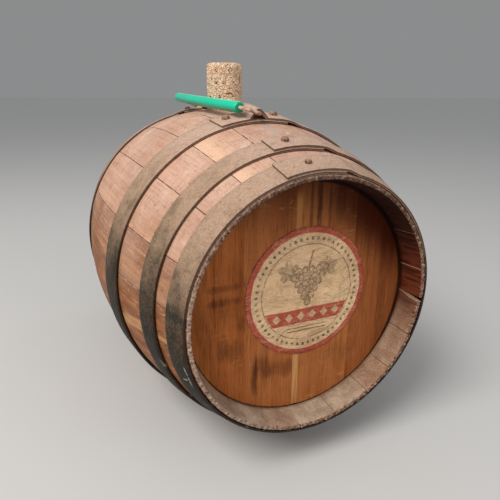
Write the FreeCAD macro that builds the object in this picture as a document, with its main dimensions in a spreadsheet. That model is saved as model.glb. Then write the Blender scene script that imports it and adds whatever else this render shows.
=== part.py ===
import FreeCAD, Part
import math
import os
import Sketcher

# A small wooden cask lying on its side: bent staves, two dowelled heads let into the croze,
# six lapped and riveted strap hoops, a wire bail hooked into two raised bridges, a bung cork.
#
# Frame, in millimetres: the cask's axis runs along Y with the front head at -Y, +Z is up, and
# the origin is on the ground under the middle of the cask. Angles round the axis are counted
# from the bung, clockwise as seen from the front.

SIZES = {
    # staves
    "cask_length": 278.0,
    "bilge_radius": 101.0,
    "end_radius": 73.6,
    "bilge_wall": 10.0,
    "chime_land": 1.8,
    "chime_depth": 17.0,
    "lip_wall": 10.1,
    "croze_depth": 4.0,
    "croze_width": 6.0,
    # heads
    "head_thickness": 10.0,
    "head_bevel": 8.0,
    "head_bevel_edge": 1.0,
    "tongue_fit": 0.2,
    "tongue_reach_gap": 0.3,
    "dowel_radius": 2.5,
    "dowel_fit": 0.05,
    "dowel_length": 24.0,
    "dowel_hole_spare": 2.0,
    "dowel_height": 32.0,
    "inlay_width": 4.0,
    "inlay_depth": 2.0,
    "inlay_fit": 0.1,
    "inlay_top": 14.0,
    "inlay_foot_gap": 0.6,
    # label
    "label_radius": 39.0,
    "label_thickness": 0.3,
    "label_gap": 0.05,
    "label_right": 2.5,
    "label_up": 4.2,
    # hoops
    "strap_thickness": 1.4,
    "strap_gap": 0.25,
    "lap_gap": 0.1,
    "lap_tail_angle": 9.5,
    "ramp_angle": 7.0,
    "chime_hoop_setback": 0.8,
    "chime_hoop_width": 14.0,
    "chime_lap_angle": 16.2,
    "quarter_hoop_setback": 25.3,
    "quarter_hoop_width": 14.5,
    "quarter_lap_angle": 11.0,
    "bilge_hoop_setback": 71.0,
    "bilge_hoop_width": 20.5,
    "bilge_lap_angle": 16.5,
    # bridges in the bilge hoops' laps
    "bridge_angle": -2.2,
    "bridge_half_mouth": 5.8,
    "bridge_rise": 5.6,
    "bridge_crown": 2.0,
    "bridge_foot": 1.5,
    # rivets
    "rivet_radius": 1.5,
    "rivet_fit": 0.05,
    "rivet_head_radius": 2.6,
    "rivet_head_height": 3.0,
    "rivet_crown_radius": 1.6,
    "rivet_seat_gap": 0.1,
    "chime_rivet_angle": -4.6,
    "quarter_rivet_angle": -4.2,
    "bilge_rivet_left_angle": -12.5,
    "bilge_rivet_right_angle": 6.1,
    # bung cork
    "cork_radius": 12.6,
    "cork_fit": 0.1,
    "cork_length": 45.0,
    "cork_seat": 13.8,
    "cork_edge": 1.2,
    # bail
    "wire_radius": 1.15,
    "hinge_height": 4.2,
    "hook_length": 9.0,
    "hook_bend": 2.6,
    "leg_clearance": 2.3,
    "front_elbow_bend": 7.0,
    "rear_elbow_bend": 4.6,
    "bow_bend": 150.0,
    "bow_half_span": 24.0,
    "bow_reach": 20.2,
    "bow_tilt": 18.3,
    "front_leg_reach": 10.7,
    "front_leg_tilt": 17.5,
    "rear_leg_reach": 20.9,
    "rear_leg_tilt": 24.3,
    "grip_radius": 3.45,
    "grip_bore_gap": 0.25,
    "grip_edge": 1.3,
}

# Staves, clockwise from the bung stave: outside widths at the bilge. A cooper takes staves of
# random width, so the widths are shares of whatever the bilge measures round.
STAVE_WIDTHS = (46, 41, 41, 35, 26, 34, 34, 28, 34, 34, 30, 32, 39, 32, 27, 31, 35, 30, 28)

# Joints between the boards of each head, measured from the cask's middle plane. A light strip
# is let into the front head along one of them.
FRONT_JOINTS = (-37.0, -3.5, 33.0)
REAR_JOINTS = (-34.0, 1.0, 36.0)
INLAID_JOINT = "front_joint_2"
INLAID_BOARDS = ("front_head_board_2", "front_head_board_3")

Vector = FreeCAD.Vector
Rotation = FreeCAD.Rotation
Placement = FreeCAD.Placement
X_AXIS, Y_AXIS, Z_AXIS = Vector(1, 0, 0), Vector(0, 1, 0), Vector(0, 0, 1)

document = FreeCAD.newDocument("cask")
sizes = document.addObject("Spreadsheet::Sheet", "sizes")


def fill_sheet():
    """Every driving dimension gets a cell of its own."""
    cells = dict(SIZES)
    for number, width in enumerate(STAVE_WIDTHS, 1):
        cells[f"stave_width_{number}"] = width
    for end, joints in (("front", FRONT_JOINTS), ("rear", REAR_JOINTS)):
        for number, place in enumerate(joints, 1):
            cells[f"{end}_joint_{number}"] = place
    for row, (name, value) in enumerate(cells.items(), 1):
        sizes.set(f"A{row}", name)
        sizes.set(f"B{row}", str(value))
        sizes.setAlias(f"B{row}", name)
    document.recompute()


def evaluate(text):
    return float(sizes.evalExpression(text))


fill_sheet()

# Derived lengths, as expressions of the sheet's cells.
AXIS_HEIGHT = "sizes.bilge_radius"
HALF_LENGTH = "(sizes.cask_length / 2)"
CROZE_FRONT = f"({HALF_LENGTH} - sizes.chime_depth)"
CROZE_BACK = f"({CROZE_FRONT} - sizes.croze_width)"
INNER_BILGE = "(sizes.bilge_radius - sizes.bilge_wall)"


def sweep_radius(half_span, rise):
    """Radius of the arc that rises so much over a half span."""
    return f"((({half_span})^2 + ({rise})^2) / (2 * ({rise})))"


OUTER_SWEEP = sweep_radius(HALF_LENGTH, "sizes.bilge_radius - sizes.end_radius")


def outer_radius(along):
    """Outside radius of the staves at a distance from the middle of the cask."""
    return f"(sizes.bilge_radius - {OUTER_SWEEP} + sqrt({OUTER_SWEEP}^2 - ({along})^2))"


LIP_RADIUS = f"({outer_radius(CROZE_FRONT)} - sizes.lip_wall)"
CROZE_RADIUS = f"({LIP_RADIUS} + sizes.croze_depth)"
INNER_SWEEP = sweep_radius(CROZE_BACK, f"{INNER_BILGE} - {LIP_RADIUS}")


# ---------------------------------------------------------------------------------------------
# Sketch and body helpers


def body(name):
    """A body modelled about the cask's axis and lifted to its height above the ground."""
    made = document.addObject("PartDesign::Body", name)
    made.Label = name
    made.setExpression("Placement.Base.z", AXIS_HEIGHT)
    return made


def sketch(owner, name, plane, offset=None):
    """A sketch on one of the body's own origin planes."""
    made = owner.newObject("Sketcher::SketchObject", f"{owner.Name}_{name}")
    support = [item for item in owner.Origin.OriginFeatures if item.Role == plane][0]
    made.AttachmentSupport = [(support, "")]
    made.MapMode = "FlatFace"
    if offset is not None:
        made.AttachmentOffset = offset
    return made


def outline(target, corners, centre_heights=None):
    """A closed outline through corners given as pairs of expressions.

    centre_heights maps a side's number to the height of its arc's centre; other sides are
    straight.
    """
    centre_heights = centre_heights or {}
    points = [Vector(evaluate(across), evaluate(up), 0) for across, up in corners]
    count = len(points)
    for side, point in enumerate(points):
        following = points[(side + 1) % count]
        if side in centre_heights:
            centre = Vector(0, evaluate(centre_heights[side]), 0)
            crest = centre + Vector(0, (point - centre).Length, 0)
            target.addGeometry(Part.Arc(point, crest, following), False)
        else:
            target.addGeometry(Part.LineSegment(point, following), False)
    starts = [side_start(target, side, points[side]) for side in range(count)]
    for side in range(count):
        following = (side + 1) % count
        end = 1 if starts[side] == 2 else 2
        target.addConstraint(Sketcher.Constraint("Coincident", side, end, following, starts[following]))
        bind(target, "DistanceX", side, starts[side], points[side].x, corners[side][0], f"across_{side}")
        bind(target, "DistanceY", side, starts[side], points[side].y, corners[side][1], f"up_{side}")
    for side, height in centre_heights.items():
        bind(target, "DistanceY", side, 3, evaluate(height), height, f"centre_{side}")


def side_start(target, side, point):
    """Which end of a side, 1 or 2, lies on the point: an arc may run the other way."""
    near = target.getPoint(side, 1).distanceToPoint(point)
    far = target.getPoint(side, 2).distanceToPoint(point)
    return 1 if near < far else 2


def bind(target, kind, side, end, value, expression, name):
    index = target.addConstraint(Sketcher.Constraint(kind, -1, 1, side, end, value))
    target.renameConstraint(index, name)
    target.setExpression(f"Constraints.{name}", expression)


def circle(target, radius):
    target.addGeometry(Part.Circle(Vector(0, 0, 0), Z_AXIS, evaluate(radius)), False)
    target.addConstraint(Sketcher.Constraint("Coincident", 0, 3, -1, 1))
    index = target.addConstraint(Sketcher.Constraint("Radius", 0, evaluate(radius)))
    target.renameConstraint(index, "radius")
    target.setExpression("Constraints.radius", radius)


def rectangle(left, right, bottom, top):
    return [(left, bottom), (right, bottom), (right, top), (left, top)]


def revolve(owner, profile, name, axis, angle, backwards=False):
    made = owner.newObject("PartDesign::Revolution", f"{owner.Name}_{name}")
    made.Profile = profile
    made.ReferenceAxis = (profile, [axis])
    made.Reversed = backwards
    made.setExpression("Angle", angle)
    document.recompute()
    return made


def pocket(owner, profile, name, length=None, reversed_cut=False):
    """A cut of a length on one side of its sketch, or through everything on both."""
    made = owner.newObject("PartDesign::Pocket", f"{owner.Name}_{name}")
    made.Profile = profile
    if length is None:
        made.SideType = "Symmetric"
        made.Type = "ThroughAll"
    else:
        made.Reversed = reversed_cut
        made.setExpression("Length", length)
    document.recompute()
    return made


def symmetric_pocket(owner, profile, name, length):
    made = pocket(owner, profile, name, length)
    made.SideType = "Symmetric"
    document.recompute()
    return made


def turned(axis, angle):
    """A sketch offset turned about an axis by an angle in degrees."""
    return Placement(Vector(), Rotation(axis, angle))


# ---------------------------------------------------------------------------------------------
# Staves


def stave_outline():
    """Side view of a stave: bilge curve, chime bevels, croze grooves, hollowed inside."""
    half = [
        (HALF_LENGTH, "sizes.end_radius"),
        (HALF_LENGTH, "(sizes.end_radius - sizes.chime_land)"),
        (CROZE_FRONT, LIP_RADIUS),
        (CROZE_FRONT, CROZE_RADIUS),
        (CROZE_BACK, CROZE_RADIUS),
        (CROZE_BACK, LIP_RADIUS),
    ]
    mirrored = [(f"-({along})", radius) for along, radius in reversed(half)]
    return half + mirrored


def make_stave(name, number, start_angle):
    stave = body(name)
    profile = sketch(stave, "profile", "YZ_Plane")
    corners = stave_outline()
    outline(profile, corners, {
        len(corners) // 2 - 1: f"({INNER_BILGE} - {INNER_SWEEP})",
        len(corners) - 1: f"(sizes.bilge_radius - {OUTER_SWEEP})",
    })
    revolve(stave, profile, "bend", "H_Axis", stave_angle(number))
    stave.Placement = Placement(stave.Placement.Base, Rotation(Y_AXIS, 1))
    stave.setExpression("Placement.Rotation.Angle", start_angle)
    return stave


def stave_angle(number):
    total = " + ".join(f"sizes.stave_width_{other}" for other in range(1, len(STAVE_WIDTHS) + 1))
    return f"(360 * sizes.stave_width_{number} / ({total}))"


def make_staves():
    staves = []
    start_angle = f"-{stave_angle(1)} / 2"
    for number in range(1, len(STAVE_WIDTHS) + 1):
        name = "bung_stave" if number == 1 else f"stave_{number:02d}"
        staves.append(make_stave(name, number, start_angle))
        start_angle = f"{start_angle} + {stave_angle(number)}"
    bore_bung_hole(staves[0])
    return staves


def bore_bung_hole(stave):
    """The stave's own frame is turned to its first edge, so the hole is turned back."""
    hole = sketch(stave, "bung_hole", "XY_Plane", turned(Y_AXIS, 1))
    hole.setExpression("AttachmentOffset.Rotation.Angle", f"{stave_angle(1)} / 2")
    circle(hole, "sizes.cork_radius + sizes.cork_fit")
    pocket(stave, hole, "bung_bore")


# ---------------------------------------------------------------------------------------------
# Heads


def head_outline():
    """Half section of a head: flat face outside, bevelled inside down to its tongue."""
    face = f"({CROZE_FRONT} - sizes.tongue_fit)"
    tongue = f"({CROZE_BACK} + sizes.tongue_fit)"
    inside = f"({face} - sizes.head_thickness)"
    rim = f"({CROZE_RADIUS} - sizes.tongue_reach_gap)"
    return [
        (face, "0"),
        (face, rim),
        (tongue, rim),
        (tongue, f"({LIP_RADIUS} - sizes.head_bevel_edge)"),
        (inside, f"({LIP_RADIUS} - sizes.head_bevel)"),
        (inside, "0"),
    ]


def make_head(end, side, joints):
    """The boards of a head, each the slice of the disc between two joints."""
    names = [f"sizes.{end}_joint_{number}" for number in range(1, len(joints) + 1)]
    edges = [f"-({CROZE_RADIUS})"] + names + [CROZE_RADIUS]
    boards = []
    for number, (left, right) in enumerate(zip(edges, edges[1:]), 1):
        board = body(f"{end}_head_board_{number}")
        profile = sketch(board, "profile", "YZ_Plane")
        outline(profile, [(f"{side} * {along}", radius) for along, radius in head_outline()])
        revolve(board, profile, "disc", "H_Axis", "360")
        for place, outer, label in ((left, f"-2 * {CROZE_RADIUS}", "left"),
                                    (right, f"2 * {CROZE_RADIUS}", "right")):
            if place in names:
                waste = sketch(board, f"{label}_waste", "XZ_Plane")
                low, high = (outer, place) if label == "left" else (place, outer)
                outline(waste, rectangle(low, high, f"-2 * {CROZE_RADIUS}", f"2 * {CROZE_RADIUS}"))
                pocket(board, waste, f"{label}_edge")
                bore_dowel_holes(board, label, place, side)
        boards.append(board)
    return boards


def dowel_line(side):
    """Place along Y of a head's dowels: midway between the inlay's groove and the inside."""
    covered = "(sizes.inlay_depth + sizes.inlay_fit + sizes.head_thickness) / 2"
    return f"({side} * ({CROZE_FRONT} - sizes.tongue_fit - {covered}))"


def bore_dowel_holes(board, label, joint, side):
    for level, sign in (("upper", 1), ("lower", -1)):
        hole = sketch(board, f"{label}_{level}_hole", "YZ_Plane", Placement(Vector(1, 1, 1), Rotation()))
        hole.setExpression("AttachmentOffset.Base.x", dowel_line(side))
        hole.setExpression("AttachmentOffset.Base.y", f"{sign} * sizes.dowel_height")
        hole.setExpression("AttachmentOffset.Base.z", joint)
        circle(hole, "sizes.dowel_radius + sizes.dowel_fit")
        symmetric_pocket(board, hole, f"{label}_{level}_bore", "sizes.dowel_length + sizes.dowel_hole_spare")


def make_dowels(end, side, joints):
    pins = []
    for number in range(1, len(joints) + 1):
        for level, sign in (("upper", 1), ("lower", -1)):
            pin = document.addObject("Part::Cylinder", f"{end}_dowel_{number}_{level}")
            pin.Placement = Placement(Vector(), Rotation(Y_AXIS, 90))
            pin.setExpression("Radius", "sizes.dowel_radius")
            pin.setExpression("Height", "sizes.dowel_length")
            pin.setExpression("Placement.Base.x", f"sizes.{end}_joint_{number} - sizes.dowel_length / 2")
            pin.setExpression("Placement.Base.y", dowel_line(side))
            pin.setExpression("Placement.Base.z", f"{AXIS_HEIGHT} + {sign} * sizes.dowel_height")
            pins.append(pin)
    return group(f"{end}_head_dowels", pins)


def group(name, members):
    made = document.addObject("Part::Compound", name)
    made.Label = name
    made.Links = members
    return made


def cut_inlay_groove(board):
    """A shallow groove along the joint, open at the head's lower edge."""
    middle = f"sizes.{INLAID_JOINT}"
    reach = "(sizes.inlay_width / 2 + sizes.inlay_fit)"
    groove = sketch(board, "groove", "XZ_Plane", Placement(Vector(0, 0, 1), Rotation()))
    groove.setExpression("AttachmentOffset.Base.z", f"{CROZE_FRONT} - sizes.tongue_fit")
    outline(groove, rectangle(f"{middle} - {reach}", f"{middle} + {reach}",
                              f"-2 * {CROZE_RADIUS}", "-(sizes.inlay_top - sizes.inlay_fit)"))
    pocket(board, groove, "inlay_groove", "sizes.inlay_depth + sizes.inlay_fit")


def make_inlay():
    inlay = document.addObject("Part::Box", "front_head_inlay")
    foot = f"({LIP_RADIUS} - sizes.inlay_foot_gap)"
    inlay.setExpression("Length", "sizes.inlay_width")
    inlay.setExpression("Width", "sizes.inlay_depth")
    inlay.setExpression("Height", f"{foot} - sizes.inlay_top")
    inlay.setExpression("Placement.Base.x", f"sizes.{INLAID_JOINT} - sizes.inlay_width / 2")
    inlay.setExpression("Placement.Base.y", f"-({CROZE_FRONT} - sizes.tongue_fit)")
    inlay.setExpression("Placement.Base.z", f"{AXIS_HEIGHT} - {foot}")
    return inlay


def make_label():
    label = document.addObject("Part::Cylinder", "head_label")
    label.Placement = Placement(Vector(), Rotation(X_AXIS, 90))
    label.setExpression("Radius", "sizes.label_radius")
    label.setExpression("Height", "sizes.label_thickness")
    label.setExpression("Placement.Base.x", "sizes.label_right")
    label.setExpression("Placement.Base.y", f"-({CROZE_FRONT} - sizes.tongue_fit + sizes.label_gap)")
    label.setExpression("Placement.Base.z", f"{AXIS_HEIGHT} + sizes.label_up")
    return label


# ---------------------------------------------------------------------------------------------
# Hoops


class Hoop:
    """Where a strap lies: its two edges along the axis and the staves' radius under them.

    A rear strap is a front one turned end for end, so its angles run the other way round.
    """

    def __init__(self, end, side, kind):
        self.name = f"{end}_{kind}_hoop"
        self.kind = kind
        self.turn = -side
        outer_edge = f"({HALF_LENGTH} - sizes.{kind}_hoop_setback)"
        inner_edge = f"({outer_edge} - sizes.{kind}_hoop_width)"
        self.edges = [f"({side} * {outer_edge})", f"({side} * {inner_edge})"]
        self.lap_angle = f"sizes.{kind}_lap_angle"

    def radius(self, edge, layer):
        """Inside radius of the first (0) or second (1) layer of strap, or above it (2)."""
        rise = f"{layer} * (sizes.strap_thickness + sizes.lap_gap)"
        return f"({outer_radius(self.edges[edge])} + sizes.strap_gap + {rise})"

    def section(self, layer):
        """Cross-section of one layer, leaning with the staves under it."""
        first, second = self.edges
        return [
            (first, self.radius(0, layer)),
            (second, self.radius(1, layer)),
            (second, f"({self.radius(1, layer)} + sizes.strap_thickness)"),
            (first, f"({self.radius(0, layer)} + sizes.strap_thickness)"),
        ]

    def on_surface(self, angle):
        """Frame on the strap's underside, Z square to the strap, about the cask's axis."""
        along = [evaluate(edge) for edge in self.edges]
        radii = [evaluate(self.radius(edge, 0)) for edge in (0, 1)]
        lean = math.degrees(math.atan2(radii[1] - radii[0], along[1] - along[0]))
        if along[1] < along[0]:
            lean = math.degrees(math.atan2(radii[0] - radii[1], along[0] - along[1]))
        middle = Vector(0, sum(along) / 2, sum(radii) / 2)
        around = Placement(Vector(), Rotation(Y_AXIS, self.turn * angle))
        return around * Placement(middle, Rotation(X_AXIS, lean))


def strap_sketch(strap, hoop, name, layer, angle):
    made = sketch(strap, name, "YZ_Plane", turned(X_AXIS, 1))
    made.setExpression("AttachmentOffset.Rotation.Angle", f"{hoop.turn} * ({angle})")
    outline(made, hoop.section(layer))
    return made


def wind(strap, hoop, start, name, angle):
    """Strap run round the cask at one height, from its cross-section at the start."""
    return revolve(strap, start, name, "H_Axis", angle, backwards=hoop.turn < 0)


def join(strap, name, first, second):
    """Straight-sided strap between two cross-sections."""
    made = strap.newObject("PartDesign::AdditiveLoft", f"{strap.Name}_{name}")
    made.Profile = first
    made.Sections = [second]
    made.Ruled = True
    document.recompute()
    return made


def make_hoop(hoop, rivet_angles):
    """One strap: once round the cask, up a ramp over its own tail, and on as the lap."""
    strap = body(hoop.name)
    ramp_foot = "(sizes.lap_tail_angle + sizes.ramp_angle)"
    ring_start = strap_sketch(strap, hoop, "ring_start", 0, ramp_foot)
    wind(strap, hoop, ring_start, "ring", "360 - sizes.ramp_angle")
    ramp_top = strap_sketch(strap, hoop, "ramp_top", 1, "sizes.lap_tail_angle")
    join(strap, "ramp", ring_start, ramp_top)
    if hoop.kind == "bilge":
        make_bridged_lap(strap, hoop)
    else:
        lap_start = strap_sketch(strap, hoop, "lap_start", 1, f"-{hoop.lap_angle}")
        wind(strap, hoop, lap_start, "lap", f"{hoop.lap_angle} + sizes.lap_tail_angle")
    for number, angle in enumerate(rivet_angles, 1):
        hole = sketch(strap, f"rivet_hole_{number}", "XY_Plane", hoop.on_surface(angle))
        circle(hole, "sizes.rivet_radius + sizes.rivet_fit")
        symmetric_pocket(strap, hole, f"rivet_bore_{number}", RIVET_BORE_LENGTH)
    return strap


RIVET_BORE_LENGTH = "(4 * (sizes.strap_thickness + sizes.strap_gap + sizes.lap_gap))"
FLANK_ANGLE = "atan(sizes.bridge_rise / (sizes.bridge_half_mouth - sizes.bridge_crown / 2))"
OUTSIDE_STEP = f"(sizes.strap_thickness * tan({FLANK_ANGLE} / 2))"
BRIDGE_REACH = f"(sizes.bridge_half_mouth + {OUTSIDE_STEP} + sizes.bridge_foot)"


def bridge_half_angle(hoop):
    """Angle from the bridge's middle to where its bent piece meets the flat lap."""
    return f"({BRIDGE_REACH} / {hoop.radius(1, 1)} * 180 / pi)"


def bridge_outline(hoop, edge):
    """End view of the bent piece at one edge of the strap, upright about its own middle."""
    inner = hoop.radius(edge, 1)
    outer = f"({inner} + sizes.strap_thickness)"
    roof = f"({inner} + sizes.bridge_rise)"
    half_angle = bridge_half_angle(hoop)
    right = [
        (f"{inner} * sin({half_angle})", f"{inner} * cos({half_angle})"),
        (f"{outer} * sin({half_angle})", f"{outer} * cos({half_angle})"),
        (f"(sizes.bridge_half_mouth + {OUTSIDE_STEP})", outer),
        (f"(sizes.bridge_crown / 2 + {OUTSIDE_STEP})", f"({roof} + sizes.strap_thickness)"),
    ]
    right_inside = [
        ("(sizes.bridge_crown / 2)", roof),
        ("sizes.bridge_half_mouth", inner),
    ]
    left = [(f"-({across})", up) for across, up in reversed(right)]
    left_inside = [(f"-({across})", up) for across, up in reversed(right_inside)]
    return right + left + left_inside + right_inside


def make_bridged_lap(strap, hoop):
    """Flat lap, raised bridge, flat lap again; the bail's hook turns under the bridge."""
    half_angle = bridge_half_angle(hoop)
    left_start = strap_sketch(strap, hoop, "left_start", 1, f"-{hoop.lap_angle}")
    right_foot = f"(sizes.bridge_angle + {half_angle})"
    right_start = strap_sketch(strap, hoop, "right_start", 1, right_foot)
    wind(strap, hoop, right_start, "right_flat", f"sizes.lap_tail_angle - {right_foot}")
    ends = []
    for edge in (0, 1):
        end = sketch(strap, f"bridge_end_{edge}", "XZ_Plane", Placement(Vector(0, 0, 1), Rotation(Z_AXIS, 1)))
        end.setExpression("AttachmentOffset.Base.z", f"-{hoop.edges[edge]}")
        end.setExpression("AttachmentOffset.Rotation.Angle", f"-{hoop.turn} * sizes.bridge_angle")
        outline(end, bridge_outline(hoop, edge))
        ends.append(end)
    join(strap, "bridge", ends[0], ends[1])
    wind(strap, hoop, left_start, "left_flat", f"{hoop.lap_angle} + sizes.bridge_angle - {half_angle}")


def make_rivet(name, hoop, angle):
    """Shank through both layers of strap with a low, rounded head on top."""
    rivet = document.addObject("PartDesign::Body", name)
    rivet.Label = name
    profile = sketch(rivet, "profile", "XZ_Plane")
    foot = "sizes.rivet_seat_gap"
    seat = "(2 * sizes.strap_thickness + sizes.lap_gap + sizes.rivet_seat_gap)"
    crown = f"({seat} + sizes.rivet_head_height)"
    outline(profile, [
        ("0", foot),
        ("sizes.rivet_radius", foot),
        ("sizes.rivet_radius", seat),
        ("sizes.rivet_head_radius", seat),
        ("sizes.rivet_head_radius", f"({crown} - sizes.rivet_head_height / 2)"),
        ("sizes.rivet_crown_radius", crown),
        ("0", crown),
    ])
    revolve(rivet, profile, "turned", "V_Axis", "360")
    lift = Placement(Vector(0, 0, evaluate(AXIS_HEIGHT)), Rotation())
    rivet.Placement = lift * hoop.on_surface(angle)
    return rivet


def make_hoops():
    straps, rivets = [], []
    for end, side in (("front", -1), ("rear", 1)):
        for kind, angle_names in (
            ("chime", ("chime_rivet_angle",)),
            ("quarter", ("quarter_rivet_angle",)),
            ("bilge", ("bilge_rivet_left_angle", "bilge_rivet_right_angle")),
        ):
            hoop = Hoop(end, side, kind)
            angles = [evaluate(f"sizes.{angle_name}") for angle_name in angle_names]
            straps.append(make_hoop(hoop, angles))
            for number, angle in enumerate(angles, 1):
                rivets.append(make_rivet(f"{hoop.name}_rivet_{number}", hoop, angle))
    return straps + [group("hoop_rivets", rivets)]


# ---------------------------------------------------------------------------------------------
# Cork


def make_cork():
    cork = document.addObject("PartDesign::Body", "bung_cork")
    cork.Label = "bung_cork"
    profile = sketch(cork, "profile", "XZ_Plane")
    outline(profile, [
        ("0", "0"),
        ("(sizes.cork_radius - sizes.cork_edge)", "0"),
        ("sizes.cork_radius", "sizes.cork_edge"),
        ("sizes.cork_radius", "(sizes.cork_length - sizes.cork_edge)"),
        ("(sizes.cork_radius - sizes.cork_edge)", "sizes.cork_length"),
        ("0", "sizes.cork_length"),
    ])
    revolve(cork, profile, "turned", "V_Axis", "360")
    cork.setExpression("Placement.Base.z", "2 * sizes.bilge_radius - sizes.cork_seat")
    return cork


# ---------------------------------------------------------------------------------------------
# Bail


def hinge_frame():
    """Level frame whose Y runs through both bridges: the line that the bail swings about."""
    hoop = Hoop("front", -1, "bilge")
    radius = evaluate(f"{hoop.radius(0, 1)} - sizes.lap_gap + sizes.hinge_height")
    angle = math.radians(evaluate("sizes.bridge_angle"))
    hooked = evaluate(f"{HALF_LENGTH} - sizes.bilge_hoop_setback - sizes.hook_length / 2")
    skew = math.degrees(math.atan2(radius * math.sin(angle), hooked))
    height = evaluate(AXIS_HEIGHT) + radius * math.cos(angle)
    return Placement(Vector(0, 0, height), Rotation(Z_AXIS, skew))


def bail_corners():
    """Corners of the bent wire from one hook to the other, and the radius of each bend."""
    hinge = hinge_frame()
    edge = evaluate(f"{HALF_LENGTH} - sizes.bilge_hoop_setback")
    leg = edge + evaluate("sizes.leg_clearance + sizes.wire_radius")
    hook_end = edge - evaluate("sizes.hook_length")
    span = evaluate("sizes.bow_half_span")
    front = [evaluate("sizes.front_leg_reach"), evaluate("sizes.front_leg_tilt")]
    rear = [evaluate("sizes.rear_leg_reach"), evaluate("sizes.rear_leg_tilt")]
    reach = evaluate("sizes.bow_reach")
    tilt = evaluate("sizes.bow_tilt")
    spread, twist = [(last - first) / 2 * span / leg for first, last in zip(front, rear)]

    def corner(along, distance, slope):
        lean = math.radians(slope)
        return hinge.multVec(Vector(-distance * math.cos(lean), along, distance * math.sin(lean)))

    corners = [
        corner(-hook_end, 0, 0),
        corner(-leg, 0, 0),
        corner(-leg, *front),
        corner(-span, reach - spread, tilt - twist),
        corner(span, reach + spread, tilt + twist),
        corner(leg, *rear),
        corner(leg, 0, 0),
        corner(hook_end, 0, 0),
    ]
    bends = ("hook", "front_elbow", "bow", "bow", "rear_elbow", "hook")
    return corners, [evaluate(f"sizes.{name}_bend") for name in bends]


def rounded_path(corners, bends):
    """Straight runs joined by tangent arcs, as a list of edges: run, arc, run, arc ..."""
    edges = []
    start = corners[0]
    for before, corner, after, bend in zip(corners, corners[1:], corners[2:], bends):
        back = (before - corner).normalize()
        ahead = (after - corner).normalize()
        half_angle = back.getAngle(ahead) / 2
        first = corner + back * (bend / math.tan(half_angle))
        last = corner + ahead * (bend / math.tan(half_angle))
        inward = (back + ahead).normalize()
        middle = corner + inward * (bend / math.sin(half_angle) - bend)
        edges.append(Part.LineSegment(start, first).toShape())
        edges.append(Part.Arc(first, middle, last).toShape())
        start = last
    edges.append(Part.LineSegment(start, corners[-1]).toShape())
    return edges


def round_bar(edges, radius):
    start = edges[0].valueAt(edges[0].FirstParameter)
    heading = edges[0].tangentAt(edges[0].FirstParameter)
    ring = Part.Wire([Part.makeCircle(radius, start, heading)])
    return Part.Wire(edges).makePipeShell([ring], True, False)


def make_bail():
    """The wire, and the tube threaded on it between the two elbows."""
    corners, bends = bail_corners()
    path = rounded_path(corners, bends)
    wire_radius = evaluate("sizes.wire_radius")
    wire = document.addObject("Part::Feature", "bail_wire")
    wire.Shape = round_bar(path, wire_radius)

    covered = path[4:9]
    outside = round_bar(covered, evaluate("sizes.grip_radius"))
    rims = [edge for edge in outside.Edges if edge.Closed and is_rim(edge, covered)]
    outside = outside.makeFillet(evaluate("sizes.grip_edge"), rims)
    bore = round_bar(covered, wire_radius + evaluate("sizes.grip_bore_gap"))
    grip = document.addObject("Part::Feature", "bail_grip")
    grip.Shape = outside.cut(bore)
    return [wire, grip]


def is_rim(edge, run):
    """True for a closed edge round either end of a run of edges."""
    centre = edge.CenterOfMass
    first = run[0].valueAt(run[0].FirstParameter)
    last = run[-1].valueAt(run[-1].LastParameter)
    return min(centre.distanceToPoint(first), centre.distanceToPoint(last)) < 0.01


# ---------------------------------------------------------------------------------------------
# Assembly and export


def make_cask():
    front_boards = make_head("front", -1, FRONT_JOINTS)
    for board in front_boards:
        if board.Name in INLAID_BOARDS:
            cut_inlay_groove(board)
    return (
        make_staves()
        + front_boards
        + make_head("rear", 1, REAR_JOINTS)
        + [make_dowels("front", -1, FRONT_JOINTS), make_dowels("rear", 1, REAR_JOINTS)]
        + [make_inlay(), make_label()]
        + make_hoops()
        + [make_cork()]
        + make_bail()
    )


def check(parts):
    for item in document.Objects:
        if "Invalid" in item.State or "Error" in item.State:
            raise RuntimeError(f"{item.Name} did not build: {item.State}")
    for part in parts:
        if part.Shape.isNull() or not part.Shape.isValid() or not part.Shape.Solids:
            raise RuntimeError(f"{part.Label} has no valid solid")


def export(parts):
    os.makedirs("parts", exist_ok=True)
    for part in parts:
        part.Shape.exportStep(f"parts/{part.Label}.step")
        box = part.Shape.BoundBox
        print(f"{part.Label}: {len(part.Shape.Solids)} solid(s), {part.Shape.Volume:.0f} mm3, "
              f"x {box.XMin:.1f}..{box.XMax:.1f}, y {box.YMin:.1f}..{box.YMax:.1f}, "
              f"z {box.ZMin:.1f}..{box.ZMax:.1f}")


cask = make_cask()
document.recompute()
check(cask)
export(cask)
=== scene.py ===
"""Looks of a small wooden cask on its side: dusty bent staves, lapped and riveted strap hoops,
varnished heads let into the chimes, a paper label, a crumb-cork bung and a bail with a green grip.

Metres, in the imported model's own frame: the cask's axis runs along Y, the front head is at -Y
and +Z is up. Angles are degrees round the axis from the bung, clockwise as seen from the front.
"""

import math

import bmesh
import bpy
from mathutils import Matrix, Vector, noise


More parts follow.
